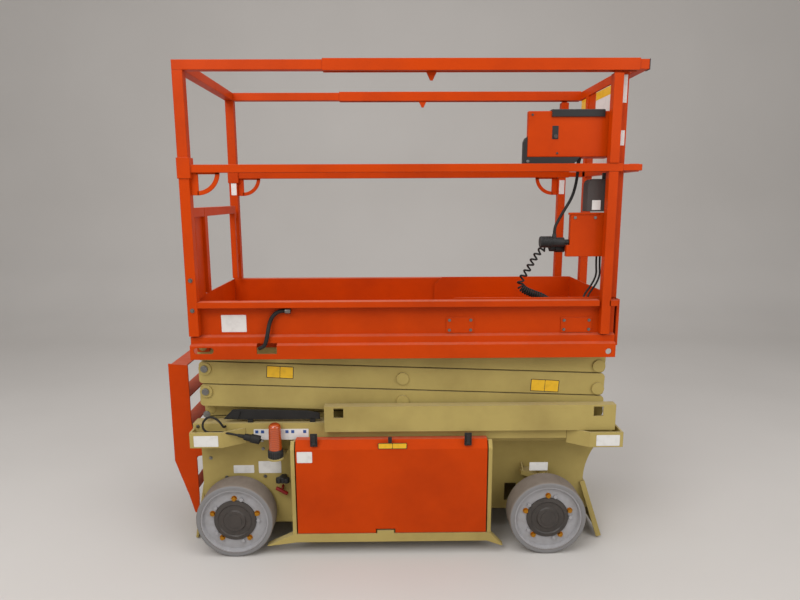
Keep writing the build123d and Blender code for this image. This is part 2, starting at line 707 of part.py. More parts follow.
for level in range(1, LEVELS + 1):
    with BuildPart() as rising:
        arm_beam(level, True, LANE_MIDDLE)
        end_z = level_z(level - 1)
        top_z = level_z(level)
        inside = LANE_MIDDLE - SEAT
        if level == 1:
            cross_rod(PIN_LEFT_X, end_z, 0, BEAM_IN_Y + SHEET, SHAFT_RADIUS)
            cross_rod(MID_X, level_z(0.5), LANE_INNER - 2, LANE_MIDDLE + ARM_THICKNESS + 2, SHAFT_RADIUS)
        elif level == 2:
            cross_rod(PIN_LEFT_X, end_z, 0, LANE_MIDDLE + ARM_THICKNESS + 2, SHAFT_RADIUS)
        else:
            cross_rod(PIN_LEFT_X, end_z, 0, HEAD_IN_Y, SHAFT_RADIUS)
            cross_rod(PIN_LEFT_X, end_z, HEAD_IN_Y, HEAD_OUT_Y, HEAD_RADIUS)
        if level > 1:
            headed_pin(MID_X, level_z(level - 0.5), LANE_MIDDLE - 2)
        if level < LEVELS:
            headed_pin(PIN_RIGHT_X, top_z, 0)
        else:
            cross_rod(PIN_RIGHT_X, top_z, 152, LANE_MIDDLE + ARM_THICKNESS + 2, SHAFT_RADIUS)
        mirror(about=Plane.XZ)
        for dx, dz, radius in RISING_TUBES.get(level, []):
            cross_tube(MID_X + dx, level_z(level - 0.5) + dz, -inside, inside, radius, 5)
        if level == 2:
            tube_x = MID_X + RISING_TUBES[2][0][0]
            tube_z = level_z(1.5) + RISING_TUBES[2][0][1]
            for y in (-LUG_IN_Y - LUG, LUG_IN_Y):
                side_sheet([(tube_x - 14, tube_z + 14), (EYE_X - 30, EYE_Z + 36), (EYE_X + 34, EYE_Z + 30), (EYE_X + 34, EYE_Z - 24), (tube_x + 18, tube_z - 18)], y, y + LUG)
            cross_rod(tube_x, tube_z, -inside + 1, inside - 1, RISING_TUBES[2][0][2] - 5, mode=Mode.SUBTRACT)
    finish(rising.part, f"rising_arms_{level}")

    with BuildPart() as falling:
        lane = LANE_INNER if level == 1 else LANE_OUTER
        arm_beam(level, False, lane)
        if level == 1:
            cross_rod(PIN_RIGHT_X, end_z, LANE_INNER + 1, LANE_MIDDLE + ARM_THICKNESS, SHAFT_RADIUS)
        if level == LEVELS:
            cross_rod(PIN_LEFT_X, top_z, LANE_OUTER - 2, 304, SHAFT_RADIUS)
        mirror(about=Plane.XZ)
        if level == 1:
            inside = LANE_INNER - SEAT
            cross_tube(MID_X - 650, level_z(0.5) + 24, -inside, inside, 30, 5)
            cross_tube(MID_X + 700, level_z(0.5) - 26, -inside, inside, 30, 5)
            tube_x = MID_X + 700
            tube_z = level_z(0.5) - 26
            for y in (-LUG_IN_Y - LUG, LUG_IN_Y):
                side_sheet([(tube_x + 20, tube_z + 20), (FOOT_X - 26, FOOT_Z + 30), (FOOT_X - 30, FOOT_Z - 28), (FOOT_X + 30, FOOT_Z - 30), (tube_x + 20, tube_z - 16)], y, y + LUG)
            cross_rod(tube_x, tube_z, -inside + 1, inside - 1, 25, mode=Mode.SUBTRACT)
            cross_rod(FOOT_X, FOOT_Z, -LUG_IN_Y - LUG - 1, LUG_IN_Y + LUG + 1, BORE, mode=Mode.SUBTRACT)
    finish(falling.part, f"falling_arms_{level}")

with BuildPart() as lower_rollers:
    cross_tube(PIN_RIGHT_X, BASE_PIN_Z, LANE_MIDDLE - 3, LANE_MIDDLE + 36, ROLLER_RADIUS, ROLLER_RADIUS - BORE)
    mirror(about=Plane.XZ)
finish(lower_rollers.part, "lower_slide_rollers")
with BuildPart() as upper_rollers:
    cross_tube(PIN_RIGHT_X, level_z(LEVELS), 154, 194, ROLLER_RADIUS, ROLLER_RADIUS - BORE)
    mirror(about=Plane.XZ)
finish(upper_rollers.part, "upper_slide_rollers")

# lift cylinder, lying between the lowest falling arms and the second rising arms
CYLINDER_LENGTH = hypot(EYE_X - FOOT_X, EYE_Z - FOOT_Z)
BARREL_LENGTH = CYLINDER_LENGTH - 340
along = Plane(origin=(FOOT_X, 0, FOOT_Z), x_dir=(0, 1, 0), z_dir=(EYE_X - FOOT_X, 0, EYE_Z - FOOT_Z))
with BuildPart() as barrel:
    cross_rod(FOOT_X, FOOT_Z, -LUG_IN_Y + 1, LUG_IN_Y - 1, 32)
    cross_rod(FOOT_X, FOOT_Z, -LUG_IN_Y - LUG - 4, LUG_IN_Y + LUG + 4, SHAFT_RADIUS)
    with BuildSketch(along.offset(20)) as tube:
        Circle(BARREL_RADIUS - 8)
    extrude(tube.sketch, amount=30)
    with BuildSketch(along.offset(50)) as tube:
        Circle(BARREL_RADIUS)
    extrude(tube.sketch, amount=BARREL_LENGTH - 50)
    with BuildSketch(along.offset(BARREL_LENGTH - 40)) as tube:
        Circle(BARREL_RADIUS + 5)
    extrude(tube.sketch, amount=40)
    with BuildSketch(along.offset(BARREL_LENGTH + 1)) as tube:
        Circle(ROD_RADIUS + FIT)
    extrude(tube.sketch, amount=-(BARREL_LENGTH - 70), mode=Mode.SUBTRACT)
finish(barrel.part, "cylinder_barrel")
with BuildPart() as rod:
    with BuildSketch(along.offset(CYLINDER_LENGTH - BARREL_LENGTH + 110)) as tube:
        Circle(ROD_RADIUS)
    extrude(tube.sketch, amount=BARREL_LENGTH - 110 - 20)
    cross_rod(EYE_X, EYE_Z, -LUG_IN_Y + SEAT, LUG_IN_Y - SEAT, 28)
finish(rod.part, "cylinder_rod")

# ---------------------------------------------------------------- platform
with BuildPart() as deck:
    bar(DECK_REAR_X + 8, DECK_FRONT_X - 8, -310, 310, DECK_UNDER_Z, DECK_TOP_Z)
    # edge channels under the floor
    long_section([(304, 895), (310, 895), (310, DECK_UNDER_Z), (304, DECK_UNDER_Z)], DECK_REAR_X + 8, DECK_FRONT_X - 8)
    # ear on the fixed pins
    side_sheet([(PIN_LEFT_X - 26, DECK_UNDER_Z), (PIN_LEFT_X + 40, DECK_UNDER_Z), (PIN_LEFT_X + 26, 876), (PIN_LEFT_X - 22, 876)], 294, 304)
    cross_rod(PIN_LEFT_X, level_z(LEVELS), 290, 312, BORE, mode=Mode.SUBTRACT)
    # channel that the upper rollers run in
    long_section(
        [
            (146, DECK_UNDER_Z),
            (197, DECK_UNDER_Z),
            (197, level_z(LEVELS) + ROLLER_RADIUS + SEAT),
            (150, level_z(LEVELS) + ROLLER_RADIUS + SEAT),
            (150, level_z(LEVELS) - ROLLER_RADIUS - SEAT),
            (197, level_z(LEVELS) - ROLLER_RADIUS - SEAT),
            (197, level_z(LEVELS) - ROLLER_RADIUS - 6),
            (146, level_z(LEVELS) - ROLLER_RADIUS - 6),
        ],
        190,
        DECK_FRONT_X - 8,
    )
    # runners for the sliding floor
    bar(DECK_REAR_X + 60, DECK_FRONT_X - 8, 290, 309, DECK_TOP_Z, DECK_TOP_Z + 5.7)
    mirror(about=Plane.XZ)
    for x in (DECK_REAR_X + 8, DECK_FRONT_X - 14):
        bar(x, x + SHEET, -304, 304, 934, DECK_UNDER_Z + 1)
finish(deck.part, "platform_floor")

SIDE_SECTION = [
    (367, 860),
    (367, 916),
    (350, 922),
    (350, 948),
    (330, 954),
    (330, 1069),
    (367, 1069),
    (367, DECK_TOE_TOP_Z),
    (325, DECK_TOE_TOP_Z),
    (325, 941),
    (310 + SEAT, 941),
    (310 + SEAT, 936),
    (345, 936),
    (345, 918),
    (362, 911),
    (362, 860),
]
with BuildPart() as toe_boards:
    long_section(SIDE_SECTION, DECK_REAR_X, DECK_FRONT_X)
    for x in (REAR_POST_X, FRONT_POST_X):
        bar(x - SEAT, x + POST + 4 + SEAT, DECK_WEB_Y + 0.01, 380, POST_FOOT_Z - SEAT, 1100, mode=Mode.SUBTRACT)
    # handling slot, hose hole and small hole in the lower flange
    with BuildSketch(Plane.XZ.offset(-380)) as holes:
        with Locations((-757, 896)):
            SlotOverall(80, 25)
        with Locations((-505, 902)):
            Rectangle(80, 40)
        with Locations((867, 884)):
            Circle(12)
    extrude(holes.sketch, amount=40, mode=Mode.SUBTRACT)
    mirror(about=Plane.XZ)
    # rear toe board under the gate
    bar(DECK_REAR_X, DECK_REAR_X + 5, -325, 325, DECK_UNDER_Z + 2, DECK_TOE_TOP_Z)
finish(toe_boards.part, "toe_boards")

with BuildPart() as rails:
    y_mid = RAIL_OUT_Y - POST / 2
    # posts
    bar(REAR_POST_X, REAR_POST_X + POST + 4, RAIL_OUT_Y - POST, RAIL_OUT_Y, POST_FOOT_Z, TOP_RAIL_Z)
    bar(FRONT_POST_X, FRONT_POST_X + POST + 4, RAIL_OUT_Y - POST, RAIL_OUT_Y, POST_FOOT_Z, TOP_RAIL_Z - 12)
    bar(FRONT_POST_X + 5, FRONT_POST_X + POST, y_mid - 4, y_mid + 4, TOP_RAIL_Z - 12, TOP_RAIL_Z)
    # sleeve on the rear post
    bar(REAR_POST_X - 4, REAR_POST_X + POST + 8, RAIL_OUT_Y - POST - 4, RAIL_OUT_Y + 4, 1571, 1649)
    # top rail, and the middle rail as a tube
    bar(REAR_POST_X, FRONT_POST_X + POST + 4, RAIL_OUT_Y - POST, RAIL_OUT_Y, TOP_RAIL_Z, TOP_RAIL_Z + TOP_RAIL)
    square_tube_x(REAR_POST_X + POST, 880, y_mid, MID_RAIL_Z + MID_RAIL / 2, MID_RAIL, 2.5)
    bar(FRONT_POST_X, FRONT_POST_X + POST + 4, y_mid - 12.5, y_mid + 12.5, MID_RAIL_Z + 2.5, MID_RAIL_Z + 27.5, mode=Mode.SUBTRACT)
    # lanyard plate: a D-shaped loop under the middle rail
    for x0, x1 in ((-771, -646), (726, 821)):
        with BuildSketch(Plane.XZ.offset(-(y_mid - 3))) as loop:
            with Locations(((x0 + x1) / 2, MID_RAIL_Z - 46)):
                RectangleRounded(x1 - x0, 92, 40)
                RectangleRounded(x1 - x0 - 28, 64, 28, mode=Mode.SUBTRACT)
            with Locations(((x0 + x1) / 2, MID_RAIL_Z + 10)):
                Rectangle(x1 - x0, 20)
        extrude(loop.sketch, amount=-6)
    bar(REAR_POST_X + POST, 880, y_mid - 12.5, y_mid + 12.5, MID_RAIL_Z + 2.5, MID_RAIL_Z + 27.5, mode=Mode.SUBTRACT)
    mirror(about=Plane.XZ)
    # rear cross rail between the rear posts
    bar(REAR_POST_X, REAR_POST_X + POST, -RAIL_OUT_Y + POST, RAIL_OUT_Y - POST, TOP_RAIL_Z, TOP_RAIL_Z + TOP_RAIL)
    # gate posts beside the entry
    bar(GATE_X - 12, GATE_X + 18, -RAIL_OUT_Y + POST, GATE_LATCH_Y - 14, 1110, 1140)
finish(rails.part, "guard_rails")

with BuildPart() as gate:
    bar(GATE_X - 10, GATE_X + 15, -255, 310, 1432, GATE_TOP_Z)
    bar(GATE_X - 10, GATE_X + 15, -255, -230, GATE_BOTTOM_Z, 1432)
    bar(GATE_X - 10, GATE_X + 15, 285, 310, GATE_BOTTOM_Z, 1432)
    bar(GATE_X - 10, GATE_X + 15, -230, 285, GATE_BOTTOM_Z, GATE_BOTTOM_Z + 25)
    bar(GATE_X - 10, GATE_X + 15, -230, 285, 1260, 1285)
    upright(GATE_X + 2.5, 318, 1190, 1220, 12.7)
    upright(GATE_X + 2.5, 318, 1400, 1430, 12.7)
finish(gate.part, "entry_gate")

# ---------------------------------------------------------------- extension
EXT_FLOOR_Z = DECK_TOP_Z + 6
with BuildPart() as ext_deck:
    bar(EXT_REAR_X, EXT_FRONT_X, -EXT_TOE_Y, EXT_TOE_Y, EXT_FLOOR_Z, EXT_FLOOR_Z + DECK_PLATE)
    side_sheet(
        [
            (EXT_REAR_X, EXT_FLOOR_Z),
            (EXT_REAR_X, 1060),
            (EXT_REAR_X + 40, EXT_TOE_TOP_Z),
            (EXT_FRONT_X, EXT_TOE_TOP_Z),
            (EXT_FRONT_X, EXT_FLOOR_Z),
        ],
        EXT_TOE_Y - 4,
        EXT_TOE_Y,
    )
    mirror(about=Plane.XZ)
    bar(EXT_FRONT_X - 4, EXT_FRONT_X, -EXT_TOE_Y, EXT_TOE_Y, EXT_FLOOR_Z, EXT_TOE_TOP_Z)
    bar(EXT_FRONT_X, EXT_FRONT_X + 14, -330, 330, 900, 1090)
finish(ext_deck.part, "extension_deck")
with BuildPart() as ext_rails:
    y_mid = RAIL_OUT_Y - POST / 2
    z_mid = TOP_RAIL_Z + TOP_RAIL / 2
    # top sleeve: a channel round the fixed top rail, open below for the post's tongue
    with BuildSketch(Plane.YZ.offset(EXT_RAIL_REAR_X)) as sleeve:
        with Locations((y_mid, z_mid)):
            Rectangle(SLEEVE, SLEEVE)
            Rectangle(SLEEVE - 6, SLEEVE - 6, mode=Mode.SUBTRACT)
        with Locations((y_mid, z_mid - SLEEVE / 2 + 1)):
            Rectangle(20, 8, mode=Mode.SUBTRACT)
    extrude(sleeve.sketch, amount=EXT_RAIL_FRONT_X - EXT_RAIL_REAR_X)
    side_sheet([(130, 1961), (170, 1961), (155, 1930), (145, 1930)], RAIL_OUT_Y - POST + 2, RAIL_OUT_Y - POST + 6)
    # middle slide inside the fixed middle rail
    bar(0, EXT_RAIL_FRONT_X, y_mid - 12, y_mid + 12, MID_RAIL_Z + 3, MID_RAIL_Z + 27)
    # front post
    bar(EXT_RAIL_FRONT_X - 36, EXT_RAIL_FRONT_X, RAIL_OUT_Y - POST, RAIL_OUT_Y, 945, TOP_RAIL_Z - 3)
    mirror(about=Plane.XZ)
    bar(EXT_RAIL_FRONT_X - 36, EXT_RAIL_FRONT_X, -RAIL_OUT_Y, RAIL_OUT_Y, TOP_RAIL_Z + 1, TOP_RAIL_Z + 36)
    bar(EXT_RAIL_FRONT_X - 36, EXT_RAIL_FRONT_X, -RAIL_OUT_Y + POST, RAIL_OUT_Y - POST, MID_RAIL_Z, MID_RAIL_Z + MID_RAIL)
    # plates that carry the console and the boxes
    bar(887 + SEAT, EXT_RAIL_FRONT_X - 33, -345, -300, 1690, 1810)
    bar(904 + SEAT, EXT_RAIL_FRONT_X - 30, -345, -300, 1290, 1550)
    for y in (100, 200):
        bar(EXT_RAIL_FRONT_X - 33, EXT_RAIL_FRONT_X - 3, y, y + 30, MID_RAIL_Z + MID_RAIL, TOP_RAIL_Z + 1)
    for y in (-180, 150):
        bar(EXT_RAIL_FRONT_X - 33, EXT_RAIL_FRONT_X - 3, y, y + 30, EXT_TOE_TOP_Z + SEAT, MID_RAIL_Z)
finish(ext_rails.part, "extension_rails")

# ---------------------------------------------------------------- boxes on the extension
with BuildPart() as console:
    bar(526, 887, -318, -200, 1650, 1850)
finish(console.part, "control_console")
with BuildPart() as document_box:
    bar(760, 904, -318, -240, 1440, 1559)
finish(document_box.part, "document_box")
with BuildPart() as outlet_box:
    bar(697, 904, -318, -220, 1262, 1430)
finish(outlet_box.part, "outlet_box")

print("beam slope", round(BEAM_SLOPE, 3), "cylinder", round(CYLINDER_LENGTH, 3), EYE_X, EYE_Z, FOOT_X, FOOT_Z)
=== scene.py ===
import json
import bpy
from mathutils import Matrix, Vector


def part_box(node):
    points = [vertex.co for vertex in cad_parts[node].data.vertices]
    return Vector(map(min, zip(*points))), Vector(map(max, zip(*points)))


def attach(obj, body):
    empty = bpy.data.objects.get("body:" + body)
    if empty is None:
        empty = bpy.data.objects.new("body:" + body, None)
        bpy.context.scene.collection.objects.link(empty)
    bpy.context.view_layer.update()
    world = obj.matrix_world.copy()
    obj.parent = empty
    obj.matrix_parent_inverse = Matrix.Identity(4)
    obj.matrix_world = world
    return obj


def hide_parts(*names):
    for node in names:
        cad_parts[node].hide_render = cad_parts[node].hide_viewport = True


bl_info = {
    "name": "Slab scissor lift dressing",
    "version": (1, 0, 0),
    "blender": (4, 5, 0),
    "location": "3D View > Sidebar > Scissor Lift",
    "description": "Finishes, trim and cords for the scissor lift frame, with its stage and camera",
    "category": "Object",
}

from math import atan, cos, pi, radians, sin, tan

import bmesh
import bpy
from mathutils import Matrix, Vector

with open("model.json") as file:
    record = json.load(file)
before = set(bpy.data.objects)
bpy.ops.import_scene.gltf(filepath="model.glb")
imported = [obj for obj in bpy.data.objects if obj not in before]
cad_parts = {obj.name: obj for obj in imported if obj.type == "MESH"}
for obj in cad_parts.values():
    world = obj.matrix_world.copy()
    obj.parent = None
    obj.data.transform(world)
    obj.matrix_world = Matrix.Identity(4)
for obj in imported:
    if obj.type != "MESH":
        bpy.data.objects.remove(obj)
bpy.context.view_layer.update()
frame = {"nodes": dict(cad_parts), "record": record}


# ---------------------------------------------------------------- colours
def linear(code):
    """A hex colour such as #C84A10 as linear red, green, blue and alpha."""
    channels = [int(code[i : i + 2], 16) / 255 for i in (1, 3, 5)]
    return (*[c / 12.92 if c <= 0.04045 else ((c + 0.055) / 1.055) ** 2.4 for c in channels], 1.0)


def colour_property(name, description, code):
    """A colour that the sidebar shows, from its hex code."""
    return bpy.props.FloatVectorProperty(
        name=name, description=description, subtype="COLOR", size=4, min=0, max=1, default=linear(code)
    )


class LiftColours(bpy.types.PropertyGroup):
    """Colours of the finishes."""

    orange: colour_property("Platform orange", "Powder coat on the platform, doors and ladder", "#BF3D00")
    orange_shade: colour_property("Orange in the grain", "Darker flow marks in the orange coat", "#AB3400")
    sand: colour_property("Chassis sand", "Enamel on the chassis and the arms", "#AD9A5C")
    sand_shade: colour_property("Sand in the grain", "Dull handled patches of the sand enamel", "#97844E")
    dust: colour_property("Dust", "Dry site dust that settles on flat tops", "#B9AE9A")
    tyre_wall: colour_property("Tyre wall", "Non-marking grey rubber", "#7F7F82")
    tyre_tread: colour_property("Tyre tread", "Grey rubber stained by the floor", "#6C6055")
    rim: colour_property("Rim", "Light grey wheel paint", "#A9A9AE")
    hub: colour_property("Hub", "Dark oiled hub castings", "#2B2725")
    zinc: colour_property("Zinc", "Yellow passivated bolts", "#C98C2C")


class LiftSizes(bpy.types.PropertyGroup):
    """Sizes of the trim and the camera."""

    plate_thickness: bpy.props.FloatProperty(
        name="Plate thickness", description="Thickness of a blank label", default=0.0006, unit="LENGTH"
    )
    bolt_circle: bpy.props.FloatProperty(
        name="Bolt circle", description="Distance of wheel bolts from the axle", default=0.098, unit="LENGTH"
    )
    peel: bpy.props.FloatProperty(
        name="Peel size", description="Spacing of the ripple in the coats", default=0.006, unit="LENGTH"
    )
    lens: bpy.props.FloatProperty(
        name="Lens", description="Focal length on a 36 mm sensor", default=26.43, unit="CAMERA"
    )


# ---------------------------------------------------------------- nodes and materials
def add_node(tree, kind, values=None, links=None, **settings):
    """One shader node with its settings, its socket values and what feeds it."""
    made = tree.nodes.new(kind)
    for key, value in settings.items():
        setattr(made, key, value)
    for socket, value in (values or {}).items():
        made.inputs[socket].default_value = value
    for socket, source in (links or {}).items():
        tree.links.new(source, made.inputs[socket])
    return made


def new_material(name, values):
    """An empty material with its shader: returns the material, its tree and the shader node."""
    material = bpy.data.materials.new(name)
    material.use_nodes = True
    tree = material.node_tree
    tree.nodes.clear()
    shader = add_node(tree, "ShaderNodeBsdfPrincipled", values)
    add_node(tree, "ShaderNodeOutputMaterial", links={"Surface": shader.outputs[0]})
    return material, tree, shader


def blend(tree, factor, first, second):
    """A colour between two others. Each of them is a colour or what another node gives."""
    values, links = {}, {0: factor}
    for socket, colour in ((6, first), (7, second)):
        (links if isinstance(colour, bpy.types.NodeSocket) else values)[socket] = colour
    return add_node(tree, "ShaderNodeMix", values, links, data_type="RGBA").outputs[2]


def noise(tree, place, scale, detail, roughness=0.5):
    """A cloudy pattern over the object, from 0 to 1."""
    values = {"Scale": scale, "Detail": detail, "Roughness": roughness}
    return add_node(tree, "ShaderNodeTexNoise", values, {"Vector": place}).outputs[0]


def spread(tree, value, start=0.0, end=1.0, low=0.0, high=1.0):
    """A value whose stretch from start to end is spread from low to high."""
    values = {"From Min": start, "From Max": end, "To Min": low, "To Max": high}
    return add_node(tree, "ShaderNodeMapRange", values, {"Value": value}).outputs[0]


def product(tree, first, second):
    """Two values multiplied."""
    return add_node(tree, "ShaderNodeMath", links={0: first, 1: second}, operation="MULTIPLY").outputs[0]


def soft_edges(tree, radius):
    """The surface's direction with its edges rounded in the shading alone."""
    return add_node(tree, "ShaderNodeBevel", {"Radius": radius}, samples=4).outputs[0]


def bumps(tree, height, strength, distance, normal=None):
    """The surface's direction with fine bumps on it."""
    links = {"Height": height} if normal is None else {"Height": height, "Normal": normal}
    return add_node(tree, "ShaderNodeBump", {"Strength": strength, "Distance": distance}, links).outputs[0]


def wire(tree, shader, colour, roughness, normal=None):
    """Feeds the shader its colour, its roughness and, where there is one, its surface direction."""
    tree.links.new(colour, shader.inputs["Base Color"])
    tree.links.new(roughness, shader.inputs["Roughness"])
    if normal is not None:
        tree.links.new(normal, shader.inputs["Normal"])


def colours():
    return bpy.context.scene.lift_colours


def sizes():
    return bpy.context.scene.lift_sizes


def enamel(name, base, shade, gloss, dust_amount):
    """Sprayed enamel on steel: an orange-peel ripple, dull patches, dust on flat tops and rubbed edges."""
    coat = {"Specular IOR Level": 0.1, "Coat Weight": 0.02, "Coat Roughness": 0.3}
    material, tree, shader = new_material(name, {"Metallic": 0.0, "IOR": 1.5, **coat})
    place = add_node(tree, "ShaderNodeTexCoord").outputs["Object"]
    patches = noise(tree, place, 3.0, 5.0, 0.6)
    body = blend(tree, spread(tree, patches, 0.42, 0.75), base, shade)
    # dust lies where the surface faces up
    faced = add_node(tree, "ShaderNodeTexCoord").outputs["Normal"]
    upward = add_node(tree, "ShaderNodeSeparateXYZ", links={0: faced}).outputs[2]
    grit = noise(tree, place, 45.0, 6.0, 0.7)
    dust_mask = product(tree, spread(tree, upward, 0.6, 1.0, high=dust_amount), grit)
    dusty = blend(tree, dust_mask, body, colours().dust)
    # rubbed edges show a darker undercoat
    rounded = soft_edges(tree, 0.0025)
    straight = add_node(tree, "ShaderNodeNewGeometry").outputs["Normal"]
    links = {0: rounded, 1: straight}
    turn = add_node(tree, "ShaderNodeVectorMath", links=links, operation="DOT_PRODUCT").outputs["Value"]
    wear = product(tree, spread(tree, turn, 0.995, 0.86, high=0.55), spread(tree, grit, 0.5, 0.62))
    worn = blend(tree, wear, dusty, linear("#5A4A3C"))
    rough = spread(tree, patches, 0.3, 0.7, gloss - 0.06, gloss + 0.14)
    ripple = noise(tree, place, 1 / sizes().peel, 2.0)
    wire(tree, shader, worn, rough, bumps(tree, ripple, 0.10, 0.0006, rounded))
    return material


def tyre_rubber():
    """Solid grey non-marking rubber: matt walls, a scuffed brown tread with a fine grain."""
    values = {"Metallic": 0.0, "IOR": 1.52, "Specular IOR Level": 0.25}
    material, tree, shader = new_material("non_marking_rubber", values)
    spot = add_node(tree, "ShaderNodeTexCoord")
    place = spot.outputs["Object"]
    across = add_node(tree, "ShaderNodeSeparateXYZ", links={0: spot.outputs["Normal"]}).outputs[1]
    side = add_node(tree, "ShaderNodeMath", links={0: across}, operation="ABSOLUTE").outputs[0]
    stain = noise(tree, place, 22.0, 8.0, 0.65)
    tread = blend(tree, stain, colours().tyre_tread, linear("#8A8078"))
    wall = blend(tree, stain, colours().tyre_wall, linear("#7C7874"))
    both = blend(tree, spread(tree, side, 0.55, 0.8), tread, wall)
    rough = spread(tree, stain, low=0.75, high=0.95)
    wire(tree, shader, both, rough, bumps(tree, noise(tree, place, 260.0, 4.0), 0.35, 0.0008))
    return material


def wheel_paint(name, node, hub_colour):
    """Satin grey wheel paint round a bare and oily cast hub, which is told by its distance from the axle."""
    hub_radius = 0.0885
    low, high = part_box(node)
    centre = (low + high) / 2
    material, tree, shader = new_material(name, {"Metallic": 0.0, "IOR": 1.5})
    place = add_node(tree, "ShaderNodeTexCoord").outputs["Object"]
    distance = place
    for values, operation in (({1: (centre.x, 0, centre.z)}, "SUBTRACT"), ({1: (1, 0, 1)}, "MULTIPLY")):
        links = {0: distance}
        distance = add_node(tree, "ShaderNodeVectorMath", values, links, operation=operation).outputs[0]
    length = add_node(tree, "ShaderNodeVectorMath", links={0: distance}, operation="LENGTH").outputs["Value"]
    grime = noise(tree, place, 30.0, 7.0, 0.7)
    painted = blend(tree, grime, colours().rim, linear("#85817E"))
    cast = blend(tree, grime, hub_colour, linear("#4A423C"))
    both = blend(tree, spread(tree, length, hub_radius, hub_radius + 0.001), cast, painted)
    rough = spread(tree, grime, low=0.35, high=0.6)
    wire(tree, shader, both, rough, bumps(tree, grime, 0.15, 0.0006, soft_edges(tree, 0.002)))
    return material


def moulded(name, base, shade, roughness, grain_size, specular=0.4):
    """Moulded plastic or rubber: a fine even grain and slight marks from handling."""
    material, tree, shader = new_material(name, {"Metallic": 0.0, "IOR": 1.5, "Specular IOR Level": specular})
    place = add_node(tree, "ShaderNodeTexCoord").outputs["Object"]
    marks = noise(tree, place, 18.0, 6.0, 0.65)
    rough = spread(tree, marks, low=roughness - 0.1, high=roughness + 0.1)
    grain = bumps(tree, noise(tree, place, 1 / grain_size, 2.0), 0.12, 0.0004, soft_edges(tree, 0.0015))
    wire(tree, shader, blend(tree, marks, base, shade), rough, grain)
    return material


def bare_metal(name, base, roughness, brushed):
    """Machined or plated metal, with marks drawn out along the length where it is brushed."""
    material, tree, shader = new_material(name, {"Metallic": 1.0})
    place = add_node(tree, "ShaderNodeTexCoord").outputs["Object"]
    scale = (40, 900, 900) if brushed else (120, 120, 120)
    stretched = add_node(tree, "ShaderNodeMapping", {"Scale": scale}, {"Vector": place}).outputs[0]
    lines = noise(tree, stretched, 1.0, 4.0)
    dull = tuple(c * 0.7 for c in base[:3]) + (1.0,)
    rough = spread(tree, lines, low=roughness * 0.7, high=roughness * 1.4)
    wire(tree, shader, blend(tree, lines, base, dull), rough)
    return material


def lamp_plastic():
    """Amber polycarbonate dome over a black moulded foot: the foot is told by its height."""
    foot_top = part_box("beacon")[0].z + 0.034
    values = {"Metallic": 0.0, "IOR": 1.58, "Coat Weight": 0.4, "Coat Roughness": 0.08}
    material, tree, shader = new_material("amber_polycarbonate", values)
    place = add_node(tree, "ShaderNodeTexCoord").outputs["Object"]
    height = add_node(tree, "ShaderNodeSeparateXYZ", links={0: place}).outputs[2]
    dome = spread(tree, height, foot_top, foot_top + 0.001)
    values = {"Scale": 40.0, "Distortion": 0.0}
    ribs = add_node(tree, "ShaderNodeTexWave", values, {"Vector": place}, bands_direction="Z").outputs[0]
    amber = blend(tree, ribs, linear("#9E3A0A"), linear("#B84C12"))
    both = blend(tree, dome, linear("#171616"), amber)
    wire(tree, shader, both, spread(tree, dome, low=0.6, high=0.18), bumps(tree, ribs, 0.2, 0.001))
    return material


def sign_film(name, base, smudged):
    """Vinyl film on a plate, left blank: semi-gloss, with faint smudges."""
    material, tree, shader = new_material(name, {"Metallic": 0.0, "IOR": 1.46})
    place = add_node(tree, "ShaderNodeTexCoord").outputs["Object"]
    smudge = noise(tree, place, 35.0, 5.0)
    tint = blend(tree, spread(tree, smudge, 0.5, 0.8, high=0.5), base, smudged)
    wire(tree, shader, tint, spread(tree, smudge, low=0.3, high=0.5))
    return material


MATERIALS = {}


class LIFT_OT_materials(bpy.types.Operator):
    """Make every finish and lay it on the frame's own nodes"""

    bl_idname = "lift.materials"
    bl_label = "Finishes"

    def execute(self, context):
        c = colours()
        MATERIALS.update(
            orange_paint=enamel("orange_powder_coat", c.orange, c.orange_shade, 0.42, 0.25),
            sand_paint=enamel("sand_enamel", c.sand, c.sand_shade, 0.45, 0.45),
            tyre_rubber=tyre_rubber(),
            bare_steel=bare_metal("turned_steel", linear("#8C8A86"), 0.35, False),
            chrome_rod=bare_metal("hard_chrome", linear("#D8D8DA"), 0.12, True),
            black_plastic=moulded("black_abs", linear("#181717"), linear("#262424"), 0.5, 0.0015),
            grey_plastic=moulded("charcoal_polyethylene", linear("#3A3331"), linear("#4A4340"), 0.6, 0.002),
            black_rubber=moulded("black_rubber", linear("#1B1A19"), linear("#2C2A28"), 0.65, 0.001, 0.25),
            amber_lens=lamp_plastic(),
            zinc=bare_metal("yellow_zinc", c.zinc, 0.38, False),
            white_film=sign_film("white_sign_film", linear("#DAD8D4"), linear("#B9B6B2")),
            yellow_film=sign_film("yellow_sign_film", linear("#E3B11C"), linear("#B98C18")),
            dark_film=sign_film("dark_sign_film", linear("#1D1B1A"), linear("#3A3634")),
            blue_film=sign_film("blue_sign_film", linear("#2B4F8F"), linear("#3B5C94")),
            red_plastic=moulded("red_grip", linear("#8E1512"), linear("#6E100E"), 0.45, 0.0015),
        )
        slots = {row["node"]: row["material_slot"] for row in frame["record"]["subparts"]}
        for name, piece in frame["nodes"].items():
            if name.startswith("rim_"):
                hub = linear("#1E1D1C") if "front" in name else c.hub
                finish = wheel_paint(f"wheel_paint_{name}", name, hub)
            else:
                finish = MATERIALS[slots[name]]
            piece.data.materials.clear()
            piece.data.materials.append(finish)
        return {"FINISHED"}


# ---------------------------------------------------------------- making pieces
MM = 0.001
SHARP = 0.5  # an edge that turns by more than this angle, in radians, is eased
SIDES = (("right", -1), ("left", 1))
TURNS = {"x": lambda a, b, c: (c, a, b), "y": lambda a, b, c: (a, c, b), "z": lambda a, b, c: (a, b, c)}


def metres(point):
    return Vector(point) * MM


